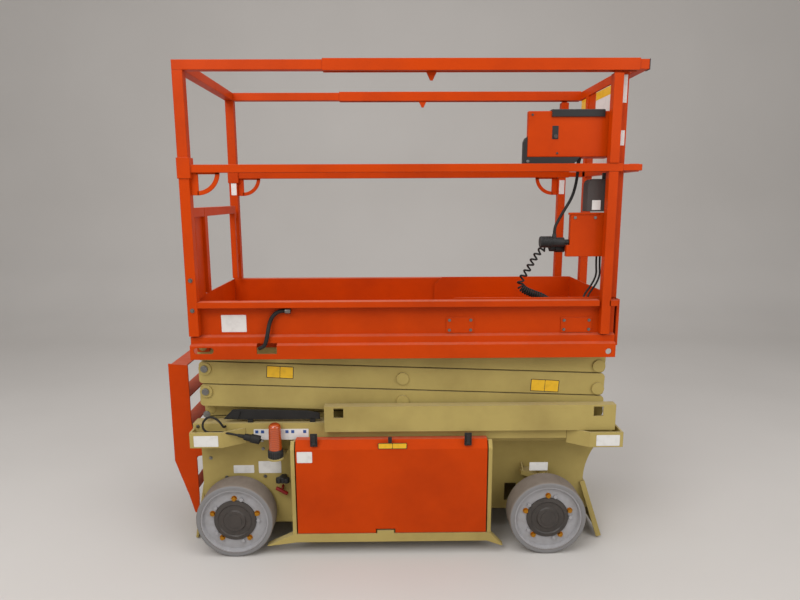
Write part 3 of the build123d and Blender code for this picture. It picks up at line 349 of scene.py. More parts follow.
def corner(node):
    """Where a node's box begins, lengthwise and in height, to a tenth of a millimetre on the centre plane."""
    low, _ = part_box(node)
    return Vector((round(low.x / MM, 1), 0, round(low.z / MM, 1)))


def between(way, near, far):
    """Two distances from the centre plane, on one side of it, in rising order."""
    return sorted((way * near, way * far))


def made_piece(name, form, finishes, body, at=(0, 0, 0)):
    """Turns a bmesh into a piece that rides on a body. Its numbers are counted from at, in millimetres."""
    bmesh.ops.translate(form, vec=metres(at), verts=form.verts)
    mesh = bpy.data.meshes.new(name)
    form.to_mesh(mesh)
    form.free()
    for finish in finishes:
        mesh.materials.append(MATERIALS[finish])
    piece = bpy.data.objects.new(name, mesh)
    bpy.context.scene.collection.objects.link(piece)
    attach(piece, body)
    return piece


def finish_faces(verts, finish):
    """Gives the faces round these vertices their finish, and returns them."""
    faces = list({face for vert in verts for face in vert.link_faces})
    for face in faces:
        face.material_index = finish
    return faces


def ease(form, verts, offset):
    """Rounds every sharp edge of the shape that these vertices make."""
    edges = {edge for vert in verts for edge in vert.link_edges}
    sharp = [edge for edge in edges if len(edge.link_faces) == 2 and edge.calc_face_angle(0) > SHARP]
    bmesh.ops.bevel(form, geom=sharp, offset=offset, segments=2, profile=0.5, affect="EDGES", material=-1)


def slab(form, axis, outline, low, high, finish=0, eased=1.2):
    """Adds a slab of this outline, in millimetres, from low to high along an axis."""
    turn = TURNS[axis]
    verts = [form.verts.new(metres(turn(a, b, low))) for a, b in outline]
    lifted = bmesh.ops.extrude_face_region(form, geom=[form.faces.new(verts)])["geom"]
    top = [item for item in lifted if isinstance(item, bmesh.types.BMVert)]
    bmesh.ops.translate(form, vec=metres(turn(0, 0, high - low)), verts=top)
    bmesh.ops.recalc_face_normals(form, faces=finish_faces(verts + top, finish))
    if eased:
        ease(form, verts + top, eased * MM)


def bar(form, x0, x1, y0, y1, z0, z1, finish=0, eased=1.2):
    """Adds a bar between two corners, in millimetres, with eased edges."""
    slab(form, "z", [(x0, y0), (x1, y0), (x1, y1), (x0, y1)], z0, z1, finish, eased)


def rod(form, start, end, radius, end_radius=None, sides=24, finish=0, eased=0.0):
    """Adds a round rod, or a tapered one, between two points in millimetres."""
    start, end = metres(start), metres(end)
    run = end - start
    place = Matrix.Translation((start + end) / 2) @ run.to_track_quat("Z", "Y").to_matrix().to_4x4()
    verts = bmesh.ops.create_cone(
        form,
        cap_ends=True,
        segments=sides,
        radius1=radius * MM,
        radius2=(radius if end_radius is None else end_radius) * MM,
        depth=run.length,
        matrix=place,
    )["verts"]
    for face in finish_faces(verts, finish):
        face.smooth = len(face.verts) == 4 and sides > 8
    if eased:
        ease(form, verts, eased * MM)


def hex_bolt(form, place, direction, radius, height, finish=0):
    """Adds a hexagon head on its washer, seated at place and standing up along direction."""
    place, direction = Vector(place), Vector(direction)
    washer = place + direction * height * 0.25
    rod(form, place, washer, radius * 1.25, sides=20, finish=finish)
    rod(form, washer, place + direction * height, radius, sides=6, finish=finish, eased=0.4)


def screw(form, x, y, z, radius, height, finish, eased=0.5):
    """Adds a low round head that faces the near side."""
    rod(form, (x, y, z), (x, y - height, z), radius, finish=finish, sides=16, eased=eased)


def rounded_plate(form, width, height, thickness, radius, place, finish=0):
    """Adds an open-backed plate with rounded corners. Its back lies on place's XY plane, facing along Z."""
    before = set(form.verts)
    made = bmesh.ops.create_grid(form, x_segments=1, y_segments=1, size=0.5)
    bmesh.ops.scale(form, vec=(width, height, 1), verts=made["verts"])
    bmesh.ops.bevel(
        form, geom=made["verts"], offset=radius, segments=3, profile=0.5, affect="VERTICES", material=-1
    )
    faces = list({face for vert in set(form.verts) - before for face in vert.link_faces})
    lifted = bmesh.ops.extrude_face_region(form, geom=faces)["geom"]
    top = [item for item in lifted if isinstance(item, bmesh.types.BMVert)]
    bmesh.ops.translate(form, vec=(0, 0, thickness), verts=top)
    bmesh.ops.delete(form, geom=[face for face in faces if face.is_valid], context="FACES_ONLY")
    verts = [vert for vert in form.verts if vert not in before]
    bmesh.ops.transform(form, matrix=place, verts=verts)
    finish_faces(verts, finish)


def facing(x, y, z, side):
    """A place, in millimetres, whose Z looks along side times Y, with X along the machine and Y up."""
    x, y, z = metres((x, y, z))
    return Matrix(((-side, 0, 0, x), (0, 0, side, y), (0, 1, 0, z), (0, 0, 0, 1)))


# ---------------------------------------------------------------- cords
# Routes in millimetres: along the machine, out from the centre plane, up.
# From the corner of the outlet box:
CONSOLE_CABLE = [
    (45, -262, 387.7),
    (45, -262, 342),
    (39, -264, 286),
    (24, -268, 232),
    (-7, -279, 185),
    (-33, -290, 144),
    (-51, -304, 116),
    (-51, -304, 90.3),
]
REAR_LEAD = [
    (137, -262, -0.3),
    (137, -262, -38),
    (141, -263, -78),
    (125, -270, -112),
    (100, -284, -141),
    (79, -299, -162),
    (79, -299, -183.7),
]
FRONT_LEAD = [
    (151, -262, -0.3),
    (151, -262, -38),
    (155, -264, -78),
    (141, -272, -112),
    (116, -286, -141),
    (96, -299, -162),
    (96, -299, -183.7),
]
COIL = [
    (-57.3, -256, 31),
    (-85, -256, 31),
    (-117, -256, -12),
    (-141, -256, -59),
    (-166, -256, -94),
    (-173, -256, -125),
    (-149, -256, -147),
    (-109, -256, -162),
    (-67, -256, -178),
    (-33, -256, -214),
    (-33, -256, -299.7),
]
# From the corner of the side beams:
CHARGING_CORD = [
    (134, -318.3, 100),
    (134, -340, 100),
    (124, -352, 130),
    (101, -352, 152),
    (71, -352, 152),
    (52, -354, 130),
    (52, -354, 102),
    (72, -355, 86),
    (106, -357, 90),
    (146, -358, 88),
    (196, -358, 76),
]
# From the corner of the toe boards:
HOSE = [
    (380.7, -342.6, 194),
    (355, -342.6, 194),
    (327, -342.6, 169),
    (315, -346, 138),
    (311, -359, 106),
    (304, -361, 71),
    (292, -358, 48),
    (273, -354, 42),
]
# radius and pitch of the curly cord in metres, where it hangs stretched and where it lies in its coil
STRETCHED = (0.0105, 0.026)
COILED = (0.0135, 0.0096)
COIL_BEGINS = 0.44  # share of the route's length
COIL_WIRE = 0.008


def cord_curve(name, points, diameter, around=4, along=12):
    """A cord in metres on one open NURBS spline, with points as its control points."""
    curve = bpy.data.curves.new(name, "CURVE")
    curve.dimensions = "3D"
    curve.resolution_u = along
    curve.bevel_depth = diameter / 2
    curve.bevel_resolution = around
    curve.use_fill_caps = True
    spline = curve.splines.new("NURBS")
    spline.points.add(len(points) - 1)
    for control, point in zip(spline.points, points):
        control.co = (*point, 1)
    spline.order_u = 3
    spline.use_endpoint_u = True
    return curve


def cord_object(name, curve, body):
    """A black rubber cord that rides on a body."""
    curve.materials.append(MATERIALS["black_rubber"])
    piece = bpy.data.objects.new(name, curve)
    bpy.context.scene.collection.objects.link(piece)
    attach(piece, body)
    return piece


def hung_cord(name, route, at, body, diameter):
    """Hangs a cord on its route, counted from at. Lengths are in millimetres."""
    points = [metres(Vector(point) + at) for point in route]
    piece = cord_object(name, cord_curve(name, points, diameter * MM), body)


def line_of(curve):
    """The points of a route's own spline."""
    holder = bpy.data.objects.new("route", curve)
    bpy.context.scene.collection.objects.link(holder)
    bpy.context.view_layer.update()
    mesh = bpy.data.meshes.new_from_object(holder)
    points = [vert.co.copy() for vert in mesh.vertices]
    bpy.data.objects.remove(holder)
    bpy.data.meshes.remove(mesh)
    return points


def helix(points, steps=16):
    """A helix round a line, stretched at first and close in its coil."""
    marks = [0.0]
    for a, b in zip(points, points[1:]):
        marks.append(marks[-1] + (b - a).length)
    across = (points[1] - points[0]).orthogonal().normalized()
    made, index, distance, angle = [], 0, 0.0, 0.0
    while distance < marks[-1]:
        while index < len(points) - 2 and marks[index + 1] < distance:
            index += 1
        share = (distance - marks[index]) / (marks[index + 1] - marks[index])
        spot = points[index].lerp(points[index + 1], share)
        along = (points[index + 1] - points[index]).normalized()
        across = (across - along * across.dot(along)).normalized()
        # the change from one pitch to the other takes a few hundredths of the length
        blend = min(max((distance / marks[-1] - COIL_BEGINS) / 0.06 + 0.5, 0), 1)
        radius, pitch = (a + (b - a) * blend for a, b in zip(STRETCHED, COILED))
        made.append(spot + (across * cos(angle) + along.cross(across) * sin(angle)) * radius)
        angle += 2 * pi / steps
        distance += pitch / steps
    return made


class LIFT_OT_cords(bpy.types.Operator):
    """Hang the console cable, the curly cord, the outlet leads, the charging cord and the hose"""

    bl_idname = "lift.cords"
    bl_label = "Cords"

    def execute(self, context):
        box = corner("outlet_box")

        def black_piece(name, form, body="extension", at=box):
            return made_piece(name, form, ["black_plastic"], body, at)

        form = bmesh.new()
        for start, end, radius in ((-108, -61, 22), (-61, -12.3, 18), (-12.3, 7.4, 10)):
            rod(form, (start, -304, 58), (end, -304, 58), radius, eased=1.5)
        for x in range(-103, -63, 6):  # grip ribs
            rod(form, (x, -304, 58), (x + 3, -304, 58), 23)
        rod(form, (-51, -304, 60), (-51, -304, 91), 11, 7.5, eased=1)
        upper = black_piece("upper_connector", form)
        form = bmesh.new()
        for start, end, radius in ((-57, -35, 15), (-35, 3, 19), (3, 63.4, 15)):
            rod(form, (start, -256, 31), (end, -256, 31), radius, eased=1.5)
        lower = black_piece("lower_connector", form)
        form = bmesh.new()
        rod(form, (-33, -256, -314.5), (-33, -256, -299), 16, 12, eased=1)
        gland = black_piece("floor_gland", form)
        form = bmesh.new()
        bar(form, 67, 109, -313.7, -288, -214, -184, eased=2)
        bar(form, 79, 97, -318, -290, -232, -212, eased=1)
        block = black_piece("socket_block", form)
        form = bmesh.new()
        rod(form, (45, -262, 388.5), (45, -262, 366), 11, 7, eased=1)
        black_piece("console_boot", form)
        hung_cord(
            "console_cable", CONSOLE_CABLE, box, "extension", 12
        )
        hung_cord("outlet_lead_rear", REAR_LEAD, box, "extension", 8)
        hung_cord("outlet_lead_front", FRONT_LEAD, box, "extension", 8)

        boards = corner("toe_boards")
        hung_cord("platform_hose", HOSE, boards, "platform", 16)
        form = bmesh.new()
        rod(form, (380, -342.6, 194), (403, -342.6, 194), 13, eased=1.5)
        bar(form, 391, 403, -343, -330, 186, 202)
        made_piece("hose_clip", form, ["bare_steel"], "platform", boards)

        # the charging plug goes on in the cord's last direction: strain relief, grip, body and two pins
        beams = corner("side_beams")
        end = Vector(CHARGING_CORD[-1])
        way = (end - Vector(CHARGING_CORD[-2])).normalized()
        form = bmesh.new()
        for near, far, radius, end_radius in ((-1, 26, 6, 9), (26, 54, 13, 15), (54, 92, 18, 18)):
            rod(form, end + way * near, end + way * far, radius, end_radius, eased=1)
        for shift in (-7, 7):
            pin = end + Vector((0, shift, 0))
            rod(form, pin + way * 92, pin + way * 108, 2.4, finish=1, sides=12)
        finishes = ("black_rubber", "bare_steel")
        plug = made_piece("charging_plug", form, finishes, "chassis", beams)
        hung_cord("charging_cord", CHARGING_CORD, beams, "chassis", 9)

        # the curly cord winds round its own route
        route = cord_curve("coil_route", [metres(Vector(point) + box) for point in COIL], 0)
        turns = helix(line_of(route))
        curly = cord_object("curly_cord", cord_curve("curly_cord", turns, COIL_WIRE, 2, 2), "extension")
        return {"FINISHED"}


# ---------------------------------------------------------------- chassis
class LIFT_OT_wheels(bpy.types.Operator):
    """Bolt the four wheels on with plated hexagon bolts"""

    bl_idname = "lift.wheels"
    bl_label = "Wheel bolts"

    def execute(self, context):
        circle = sizes().bolt_circle / MM
        for end in ("rear", "front"):
            for side, way in SIDES:
                low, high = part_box(f"rim_{end}_{side}")
                centre = (low + high) / 2 / MM
                disc = max(abs(low.y), abs(high.y)) / MM - 15.4
                form = bmesh.new()
                for step in range(5):
                    angle = radians(18 + 72 * step)
                    spot = (centre.x + circle * cos(angle), way * disc, centre.z + circle * sin(angle))
                    hex_bolt(form, spot, (0, way, 0), 9.6, 10.5)
                made_piece(f"wheel_bolts_{end}_{side}", form, ["zinc"], f"{end}_{side}_wheel")
        return {"FINISHED"}


WHITE = ("white_film", "white_film")
YELLOW = ("dark_film", "yellow_film")
# name, body, node it is placed from, edge and face films, x from and to, z from and to, back in y, panels
LABELS = [
    ("strap_label_rear", "chassis", "corner_straps", WHITE, 17, 117, 16, 63, -370.2, 1),
    ("strap_label_front", "chassis", "corner_straps", WHITE, 1673, 1770, 6, 53, -370.2, 1),
    ("door_label_yellow", "right_door", "door_right", YELLOW, 341, 461, 379, 405, -370.2, 2),
    ("door_label_white", "right_door", "door_right", WHITE, 6, 69, 321, 369, -370.2, 1),
    ("chassis_plate_a", "chassis", "side_plates", WHITE, 132, 220, 230, 266, -270.2, 1),
    ("chassis_plate_b", "chassis", "side_plates", WHITE, 240, 337, 229, 284, -270.2, 1),
    ("chassis_plate_c", "chassis", "side_plates", WHITE, 1411, 1491, 230, 268, -270.2, 1),
    ("platform_label", "platform", "toe_boards", WHITE, 121, 221, 105, 175, -330.2, 1),
]
ARM_LABELS = [("arm_label_rear", 281.5, 393.5), ("arm_label_front", 1384.5, 1503.5)]


def label(form, x0, x1, z0, z1, y, panels):
    """Adds a blank label for the near side: its edge, and its panels set in a little from it."""
    edge, gap = 1.5, 2
    film, print_film = sizes().plate_thickness, 0.0002
    height = (z0 + z1) / 2
    rounded_plate(form, (x1 - x0) * MM, (z1 - z0) * MM, film, 0.003, facing((x0 + x1) / 2, y, height, -1))
    step = (x1 - x0 - 2 * edge) / panels
    for index in range(panels):
        place = facing(x0 + edge + step * (index + 0.5), y - film / MM, height, -1)
        rounded_plate(form, (step - gap) * MM, (z1 - z0 - 5) * MM, print_film, 0.002, place, 1)


class LIFT_OT_labels(bpy.types.Operator):
    """Lay the blank labels and plates on the chassis, the door, the arms and the platform"""

    bl_idname = "lift.labels"
    bl_label = "Blank labels"

    def execute(self, context):
        for name, body, node, films, x0, x1, z0, z1, y, panels in LABELS:
            form = bmesh.new()
            label(form, x0, x1, z0, z1, y, panels)
            made_piece(name, form, films, body, corner(node))
        # the arm labels lie along their arm, which is as deep as its rounded end is wide
        low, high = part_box("falling_arms_3")
        depth, end = 0.058, 0.028
        slope = atan((high.z - low.z - depth) / (high.x - low.x - 2 * end))
        for name, x0, x1 in ARM_LABELS:
            form = bmesh.new()
            label(form, (x0 - x1) / 2, (x1 - x0) / 2, -26, 26, -0.3, 2)
            middle = (corner("falling_arms_3").x + (x0 + x1) / 2) * MM
            height = high.z - depth / 2 - (middle - low.x - end) * tan(slope)
            turned = Matrix.Translation((middle, low.y, height)) @ Matrix.Rotation(slope, 4, "Y")
            bmesh.ops.transform(form, matrix=turned, verts=form.verts)
            made_piece(name, form, YELLOW, "falling_3")
        # white strip with small blue marks behind the lamp
        form = bmesh.new()
        rounded_plate(form, 0.229, 0.047, 0.0008, 0.003, facing(365.5, -318.3, 62.5, -1))
        for x in (264, 288, 390, 414, 464):
            rounded_plate(form, 0.013, 0.013, 0.0003, 0.001, facing(x, -319.1, 74, -1), 1)
        films = ("white_film", "blue_film")
        made_piece("beam_strip", form, films, "chassis", corner("side_beams"))
        return {"FINISHED"}


class LIFT_OT_latches(bpy.types.Operator):
    """Fit the door latches, the knob, the pull handle and the lamp's ribbed foot"""

    bl_idname = "lift.latches"
    bl_label = "Latches and handles"

    def execute(self, context):
        for side, way in SIDES:
            form = bmesh.new()
            plate, paddle = between(way, 370.5, 376), between(way, 375, 383)
            for x in (78, 712):
                slab(form, "y", [(x - 15, 393), (x + 15, 393), (x + 15, 449), (x - 15, 449)], *plate, eased=2)
                slab(form, "y", [(x - 7, 402), (x + 7, 402), (x + 9, 444), (x - 9, 444)], *paddle, eased=2.5)
                rod(form, (x - 11, way * 380, 406), (x + 11, way * 380, 406), 4.5)
            bar(form, 383, 399, *between(way, 370.5, 377), 407, 433, eased=2)
            door = corner(f"door_{side}")
            made_piece(f"door_latches_{side}", form, ["black_plastic"], "chassis", door)

        plates = corner("side_plates")
        form = bmesh.new()
        x, y = 348.5, -296
        for angle in (90, 210, 330):  # three lobes
            lobe_x, lobe_y = x + 19 * cos(radians(angle)), y + 19 * sin(radians(angle))
            rod(form, (lobe_x, lobe_y, 202), (lobe_x, lobe_y, 224), 13, eased=3)
        rod(form, (x, y, 200), (x, y, 226), 17, eased=3)
        rod(form, (x, y, 213), (x, -266, 213), 7)
        made_piece("bay_knob", form, ["black_plastic"], "chassis", plates)
        form = bmesh.new()
        rod(form, (316, -292, 171), (365, -292, 143), 8, eased=3)
        rod(form, (340.5, -292, 157), (343, -264, 175), 5)
        made_piece("release_handle", form, ["red_plastic"], "chassis", plates)

        low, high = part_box("beacon")
        middle = (low + high) / 2 / MM
        foot = low.z / MM
        form = bmesh.new()
        for step in range(18):
            angle = radians(20 * step)
            x, y = middle.x + 28.5 * cos(angle), middle.y + 28.5 * sin(angle)
            rod(form, (x, y, foot + 0.5), (x, y, foot + 28), 3.6, sides=12, eased=0.8)
        made_piece("lamp_foot_ribs", form, ["black_plastic"], "chassis")
        return {"FINISHED"}


CHASSIS_BOLTS = [
    (263, -270.5, 341),
    (267, -270.5, 215),
    (101, -270.5, 212),
    (37, -270.5, 301),
    (43, -270.5, 145),
    (7, -318.5, 463),
]


class LIFT_OT_chassis_trim(bpy.types.Operator):
    """Fit the black hose tray, which is partly painted shade for the gap under the lowest arm, the small
    chassis bolts, the arm pin clips and the roller covers
    """

    bl_idname = "lift.chassis_trim"
    bl_label = "Chassis trim"

    def execute(self, context):
        # black rubber hose tray on the beam, cut as a wedge that fills the dark gap under the lowest rising
        # arm: partly a real tray, partly painted shade standing for the shadow in that gap
        form = bmesh.new()
        tray_and_shade_wedge = [(125, 128), (196, 125), (528, 125), (528, 152), (476, 162), (196, 170), (164, 168)]
        slab(form, "y", tray_and_shade_wedge, -311, -303, eased=1.5)
        slab(form, "y", [(136, 132), (188, 130), (200, 162), (168, 162)], -316, -310, eased=1.5)
        for x in (226, 486):  # feet on the beam
            bar(form, x, x + 22, -311, -303, 111, 130)
        made_piece("hose_tray_and_painted_shade", form, ["black_rubber"], "chassis", corner("side_beams"))

        form = bmesh.new()
        for spot in CHASSIS_BOLTS:
            hex_bolt(form, spot, (0, -1, 0), 6, 5)
        made_piece("chassis_bolts", form, ["bare_steel"], "chassis", corner("side_plates"))

        for level in (2, 3, 1):
            for side, way in SIDES:
                form = bmesh.new()
                rod(form, (26.5, way * 296.8, 28.9), (26.5, way * 303, 28.9), 15, eased=1.5)
                clip = [(12.5, 23.9), (38.5, 31.9), (40.5, 36.9), (13.5, 28.9)]
                slab(form, "y", clip, *between(way, 303, 305), eased=0.6)
                arm = corner(f"rising_arms_{level + 1}")
                name = f"pin_clip_{level}_{side}"
                made_piece(name, form, ["bare_steel"], f"rising_{level + 1}", arm)

        form = bmesh.new()
        for side, way in SIDES:
            for x0, x1, z1 in ((1026, 1138, 161), (1490, 1617, 158)):
                cover = [(x0, 96), (x1, 96), (x1, z1), (x0, z1)]
                slab(form, "y", cover, *between(way, 330.2, 333.5), eased=1)
                for x in (x0 + 13, x1 - 13):
                    for z in (108, z1 - 12):
                        hex_bolt(form, (x, way * 333.5, z), (0, way, 0), 5, 4.5, finish=1)
        finishes = ("orange_paint", "bare_steel")
        made_piece("roller_covers", form, finishes, "platform", corner("toe_boards"))
        return {"FINISHED"}


# ---------------------------------------------------------------- platform
def sleeve(form, y, z, x0, x1, outer, wall):
    """Adds a square tube along the machine, open at both ends and slotted below."""
    half = outer / 2
    inner, slot = half - wall, 10
    for sign in (-1, 1):
        bar(form, x0, x1, *sorted((y + sign * half, y + sign * inner)), z - half, z + half, eased=0.8)
    bar(form, x0, x1, y - inner, y + inner, z + inner, z + half, eased=0)
    for low, high in ((y - inner, y - slot), (y + slot, y + inner)):
        bar(form, x0, x1, low, high, z - half, z - inner, eased=0)


class LIFT_OT_rails(bpy.types.Operator):
    """Make the fixed guard rails with their lanyard loops"""

    bl_idname = "lift.rails"
    bl_label = "Guard rails"

    def execute(self, context):
        at = corner("guard_rails")
        form = bmesh.new()
        for way in (-1, 1):
            near, far = between(way, 331, 367)
            bar(form, 4, 44, near, far, 0, 1009)
            bar(form, 1645, 1681, near, far, 0, 637)
            bar(form, 1645, 1681, near, far, 669, 997)
            bar(form, 1650, 1676, way * 349 - 4, way * 349 + 4, 996, 1010, eased=0)
            bar(form, 0, 51, *between(way, 327, 371), 616, 694)
            bar(form, 4, 1681, near, far, 1009, 1045)
            sleeve(form, way * 349, 653, 45, 1699, 30, 2.5)
        bar(form, 4, 44, -332, 332, 1009, 1045)
        # lanyard plates: a foot on the post, a quarter ring and a strip under the rail
        arc = [radians(-90 + 7.5 * step) for step in range(13)]
        for face, turn, way in ((44, 1, -1), (44, 1, 1), (1645, -1, 1)):
            middle = face + 24 * turn
            low, high = way * 349 - 3, way * 349 + 3
            foot = [(face, 553), (middle + 5 * turn, 553), (middle + 5 * turn, 639), (face, 639)]
            slab(form, "y", foot, low, high, eased=0.8)
            ring = [(middle + 88 * cos(a) * turn, 641 + 88 * sin(a)) for a in arc]
            ring += [(middle + 71 * cos(a) * turn, 641 + 71 * sin(a)) for a in reversed(arc)]
            slab(form, "y", ring, low, high, eased=0.8)
            bar(form, *sorted((middle, middle + 86 * turn)), low, high, 632, 639, eased=0.5)
        rails = made_piece("fixed_rails", form, ["orange_paint"], "platform", at)
        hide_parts("guard_rails")
        form = bmesh.new()
        for x0, x1 in ((14, 40), (1649, 1675)):
            slab(form, "y", [(x0, 557), (x1, 557), (x1, 625), (x0, 625)], 330.2, 331, eased=0.2)
        made_piece("loop_labels", form, ["white_film"], "platform", at)
        return {"FINISHED"}


class LIFT_OT_gate(bpy.types.Operator):
    """Make the entry gate, its hinge and its latch"""

    bl_idname = "lift.gate"
    bl_label = "Entry gate"

    def execute(self, context):
        at = corner("guard_rails")
        finishes = ("orange_paint", "bare_steel")
        form = bmesh.new()
        bar(form, 15, 40, -191, -156, 149, 471)
        bar(form, 15, 40, 268, 292, 149, 471)
        bar(form, 15, 40, -191, 292, 469, 505)
        for z in (235, 445):  # hinge lugs and barrels
            bar(form, 17, 32, 290, 312, z + 4, z + 26)
            rod(form, (24.5, 318, z), (24.5, 318, z + 30), 12.7, eased=1)
        rod(form, (9, -172, 375), (9, -172, 455), 5, finish=1)
        for z in (379, 451):
            rod(form, (9, -172, z), (16, -172, z), 5, finish=1)
        gate = made_piece("gate_frame", form, finishes, "gate", at)
        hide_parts("entry_gate")
        form = bmesh.new()
        bar(form, 15, 40, -332, -196, 469, 505)
        bar(form, 20, 28, -280, -196, 138, 470, eased=1)
        rod(form, (15, -232, 345), (15, -232, 481), 5, finish=1)
        rod(form, (15, -262, 285), (15, -262, 375), 5, finish=1)
        made_piece("gate_stop", form, finishes, "platform", at)
        form = bmesh.new()
        for way in (-1, 1):
            for z in (225, 105):
                hex_bolt(form, (24, way * 367.2, z), (0, way, 0), 7, 6)
        made_piece("post_bolts", form, ["bare_steel"], "platform", at)
        return {"FINISHED"}


# ---------------------------------------------------------------- sliding deck
class LIFT_OT_extension(bpy.types.Operator):
    """Make the sliding deck with its rails and its front frame"""

    bl_idname = "lift.extension"
    bl_label = "Sliding deck"

    def execute(self, context):
        form = bmesh.new()
        bar(form, 0, 693, -318, 318, 44, 48, eased=0.5)
        for y in (-318, 314):
            slab(form, "y", [(0, 44), (693, 44), (693, 198), (40, 198), (0, 160)], y, y + 4, eased=0.8)
        bar(form, 689, 693, -318, 318, 44, 198, eased=0.5)
        bar(form, 693, 704, -330, 330, 0, 190, eased=1)
        deck = corner("extension_deck")
        floor = made_piece("extension_floor", form, ["orange_paint"], "extension", deck)
        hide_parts("extension_deck")

        at = corner("extension_rails")
        form = bmesh.new()
        for way in (-1, 1):
            y = way * 349
            sleeve(form, y, 1037, 0, 1179, 43, 3)
            bar(form, 256, 1214, y - 12, y + 12, 651, 675)
            stop = [(386, 1016), (426, 1016), (411, 985), (401, 985)]
            slab(form, "y", stop, *between(way, 333, 337), eased=0.8)
        bar(form, 1121, 1157, -327, -291, 153, 1029)
        bar(form, 1178, 1214, 215, 251, 33, 1020)
        bar(form, 1178, 1214, -367, 367, 1019, 1055)
        bar(form, 1178, 1214, -331, 331, 648, 678)
        bar(form, 1160, 1178, 218, 248, 45, 135)
        rails = made_piece("extension_frame", form, ["orange_paint"], "extension", at)
        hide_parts("extension_rails")

        form = bmesh.new()
        bar(form, 1182, 1185, -216, 216, 677, 1020, eased=0.5)
        bar(form, 1182, 1185, 250, 325, 915, 1020, eased=0.5)
        bar(form, 1180.6, 1182, -70, 114, 681, 1017, finish=2, eased=0)
        bar(form, 1180.2, 1181, -68, 112, 980, 1015, finish=1, eased=0)
        bar(form, 1180.6, 1182, 253, 322, 947, 1013, finish=1, eased=0)
        finishes = ("orange_paint", "yellow_film", "white_film")
        made_piece("front_boards", form, finishes, "extension", at)
        form = bmesh.new()
        bar(form, 1156, 1158, -322, -300, 895, 1005, eased=0)
        for z0, z1 in ((905, 1007), (747, 803)):
            slab(form, "y", [(1127, z0), (1151, z0), (1151, z1), (1127, z1)], -328, -327, eased=0.3)
        made_piece("post_labels", form, ["white_film"], "extension", at)
        form = bmesh.new()
        for y0, y1 in ((-368, -330), (332, 368)):
            slab(form, "x", [(y0, 1017), (y1, 1017), (y1, 1056), (y0, 1056)], 1213.5, 1217, eased=1.5)
        made_piece("rail_caps", form, ["black_plastic"], "extension", at)
        return {"FINISHED"}


class LIFT_OT_console(bpy.types.Operator):
    """Make the control console with its guard, the document case and the outlet box"""

    bl_idname = "lift.console"
    bl_label = "Console and boxes"

    def execute(self, context):
        at = corner("control_console")
        form = bmesh.new()
        slab(form, "z", [(-2, -318), (338.5, -318), (338.5, -200), (88, -200), (-2, -294)], 0, 172, eased=3)
        slab(form, "y", [(92, 67), (116, 67), (116, 117), (92, 117)], -318.8, -317.8, finish=1, eased=0.3)
        rod(form, (105, -318, 77), (105, -324, 77), 8, finish=2, eased=1.5)
        bar(form, -2.8, -1.5, -314, -302, 4, 78, finish=1, eased=0.2)
        for x, z in ((14, 158), (324, 158), (324, 14), (114, 14)):
            screw(form, x, -318, z, 4.5, 2, 2)
        # pad over the top edge
        pad = [(-325, 150), (-318.3, 150), (-318.3, 172.3), (-258, 172.3), (-258, 178)]
        pad += [(-322, 178), (-325, 175)]
        slab(form, "x", pad, 88, 292, finish=1, eased=1)
        finishes = ("orange_paint", "black_plastic", "grey_plastic")
        console = made_piece("console_box", form, finishes, "extension", at)
        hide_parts("control_console")
        form = bmesh.new()
        guard = [(-17, -28), (180, -28), (206, -0.3), (-2.3, -0.3), (-2.3, 76), (-10, 72), (-17, 56)]
        slab(form, "y", guard, -318, -290, eased=1.5)
        screw(form, 1, -318, -16, 6, 3, 1, 0.6)
        finishes = ("black_plastic", "bare_steel")
        made_piece("console_guard", form, finishes, "extension", at)

        form = bmesh.new()
        arc = [(22 * cos(radians(a)), 22 * sin(radians(a))) for a in (0, 22.5, 45, 67.5, 90)]
        outline = [(6.7, 0), (104.7, 0)]
        outline += [(82.7 + a, 104 + b) for a, b in arc]
        outline += [(28.7 - b, 104 + a) for a, b in arc]
        slab(form, "y", outline, -318, -260, eased=2)
        slab(form, "y", [(26, 6), (60, 6), (60, 44), (26, 44)], -318.8, -317.9, finish=1, eased=0.3)
        rod(form, (82, -300, 120), (82, -300, 150), 15, finish=2, eased=2)
        finishes = ("grey_plastic", "white_film", "black_plastic")
        case = corner("document_box")
        box = made_piece("document_case", form, finishes, "extension", case)
        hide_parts("document_box")

        form = bmesh.new()
        bar(form, 7.7, 167.7, -318, -294, 0, 174, eased=2)
        bar(form, -4.3, 9, -318, -294, 0, 46, eased=1.5)
        bar(form, -1.3, 119.7, -321, -312, 166, 174, eased=1)
        bar(form, 63.7, 167.7, -295, -220, 0, 168, eased=2)
        for x in (25, 105):
            screw(form, x, -318, 154, 6, 2.5, 1)
        finishes = ("orange_paint", "bare_steel")
        cover = corner("outlet_box")
        outlet = made_piece("outlet_cover", form, finishes, "extension", cover)
        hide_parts("outlet_box")
        return {"FINISHED"}


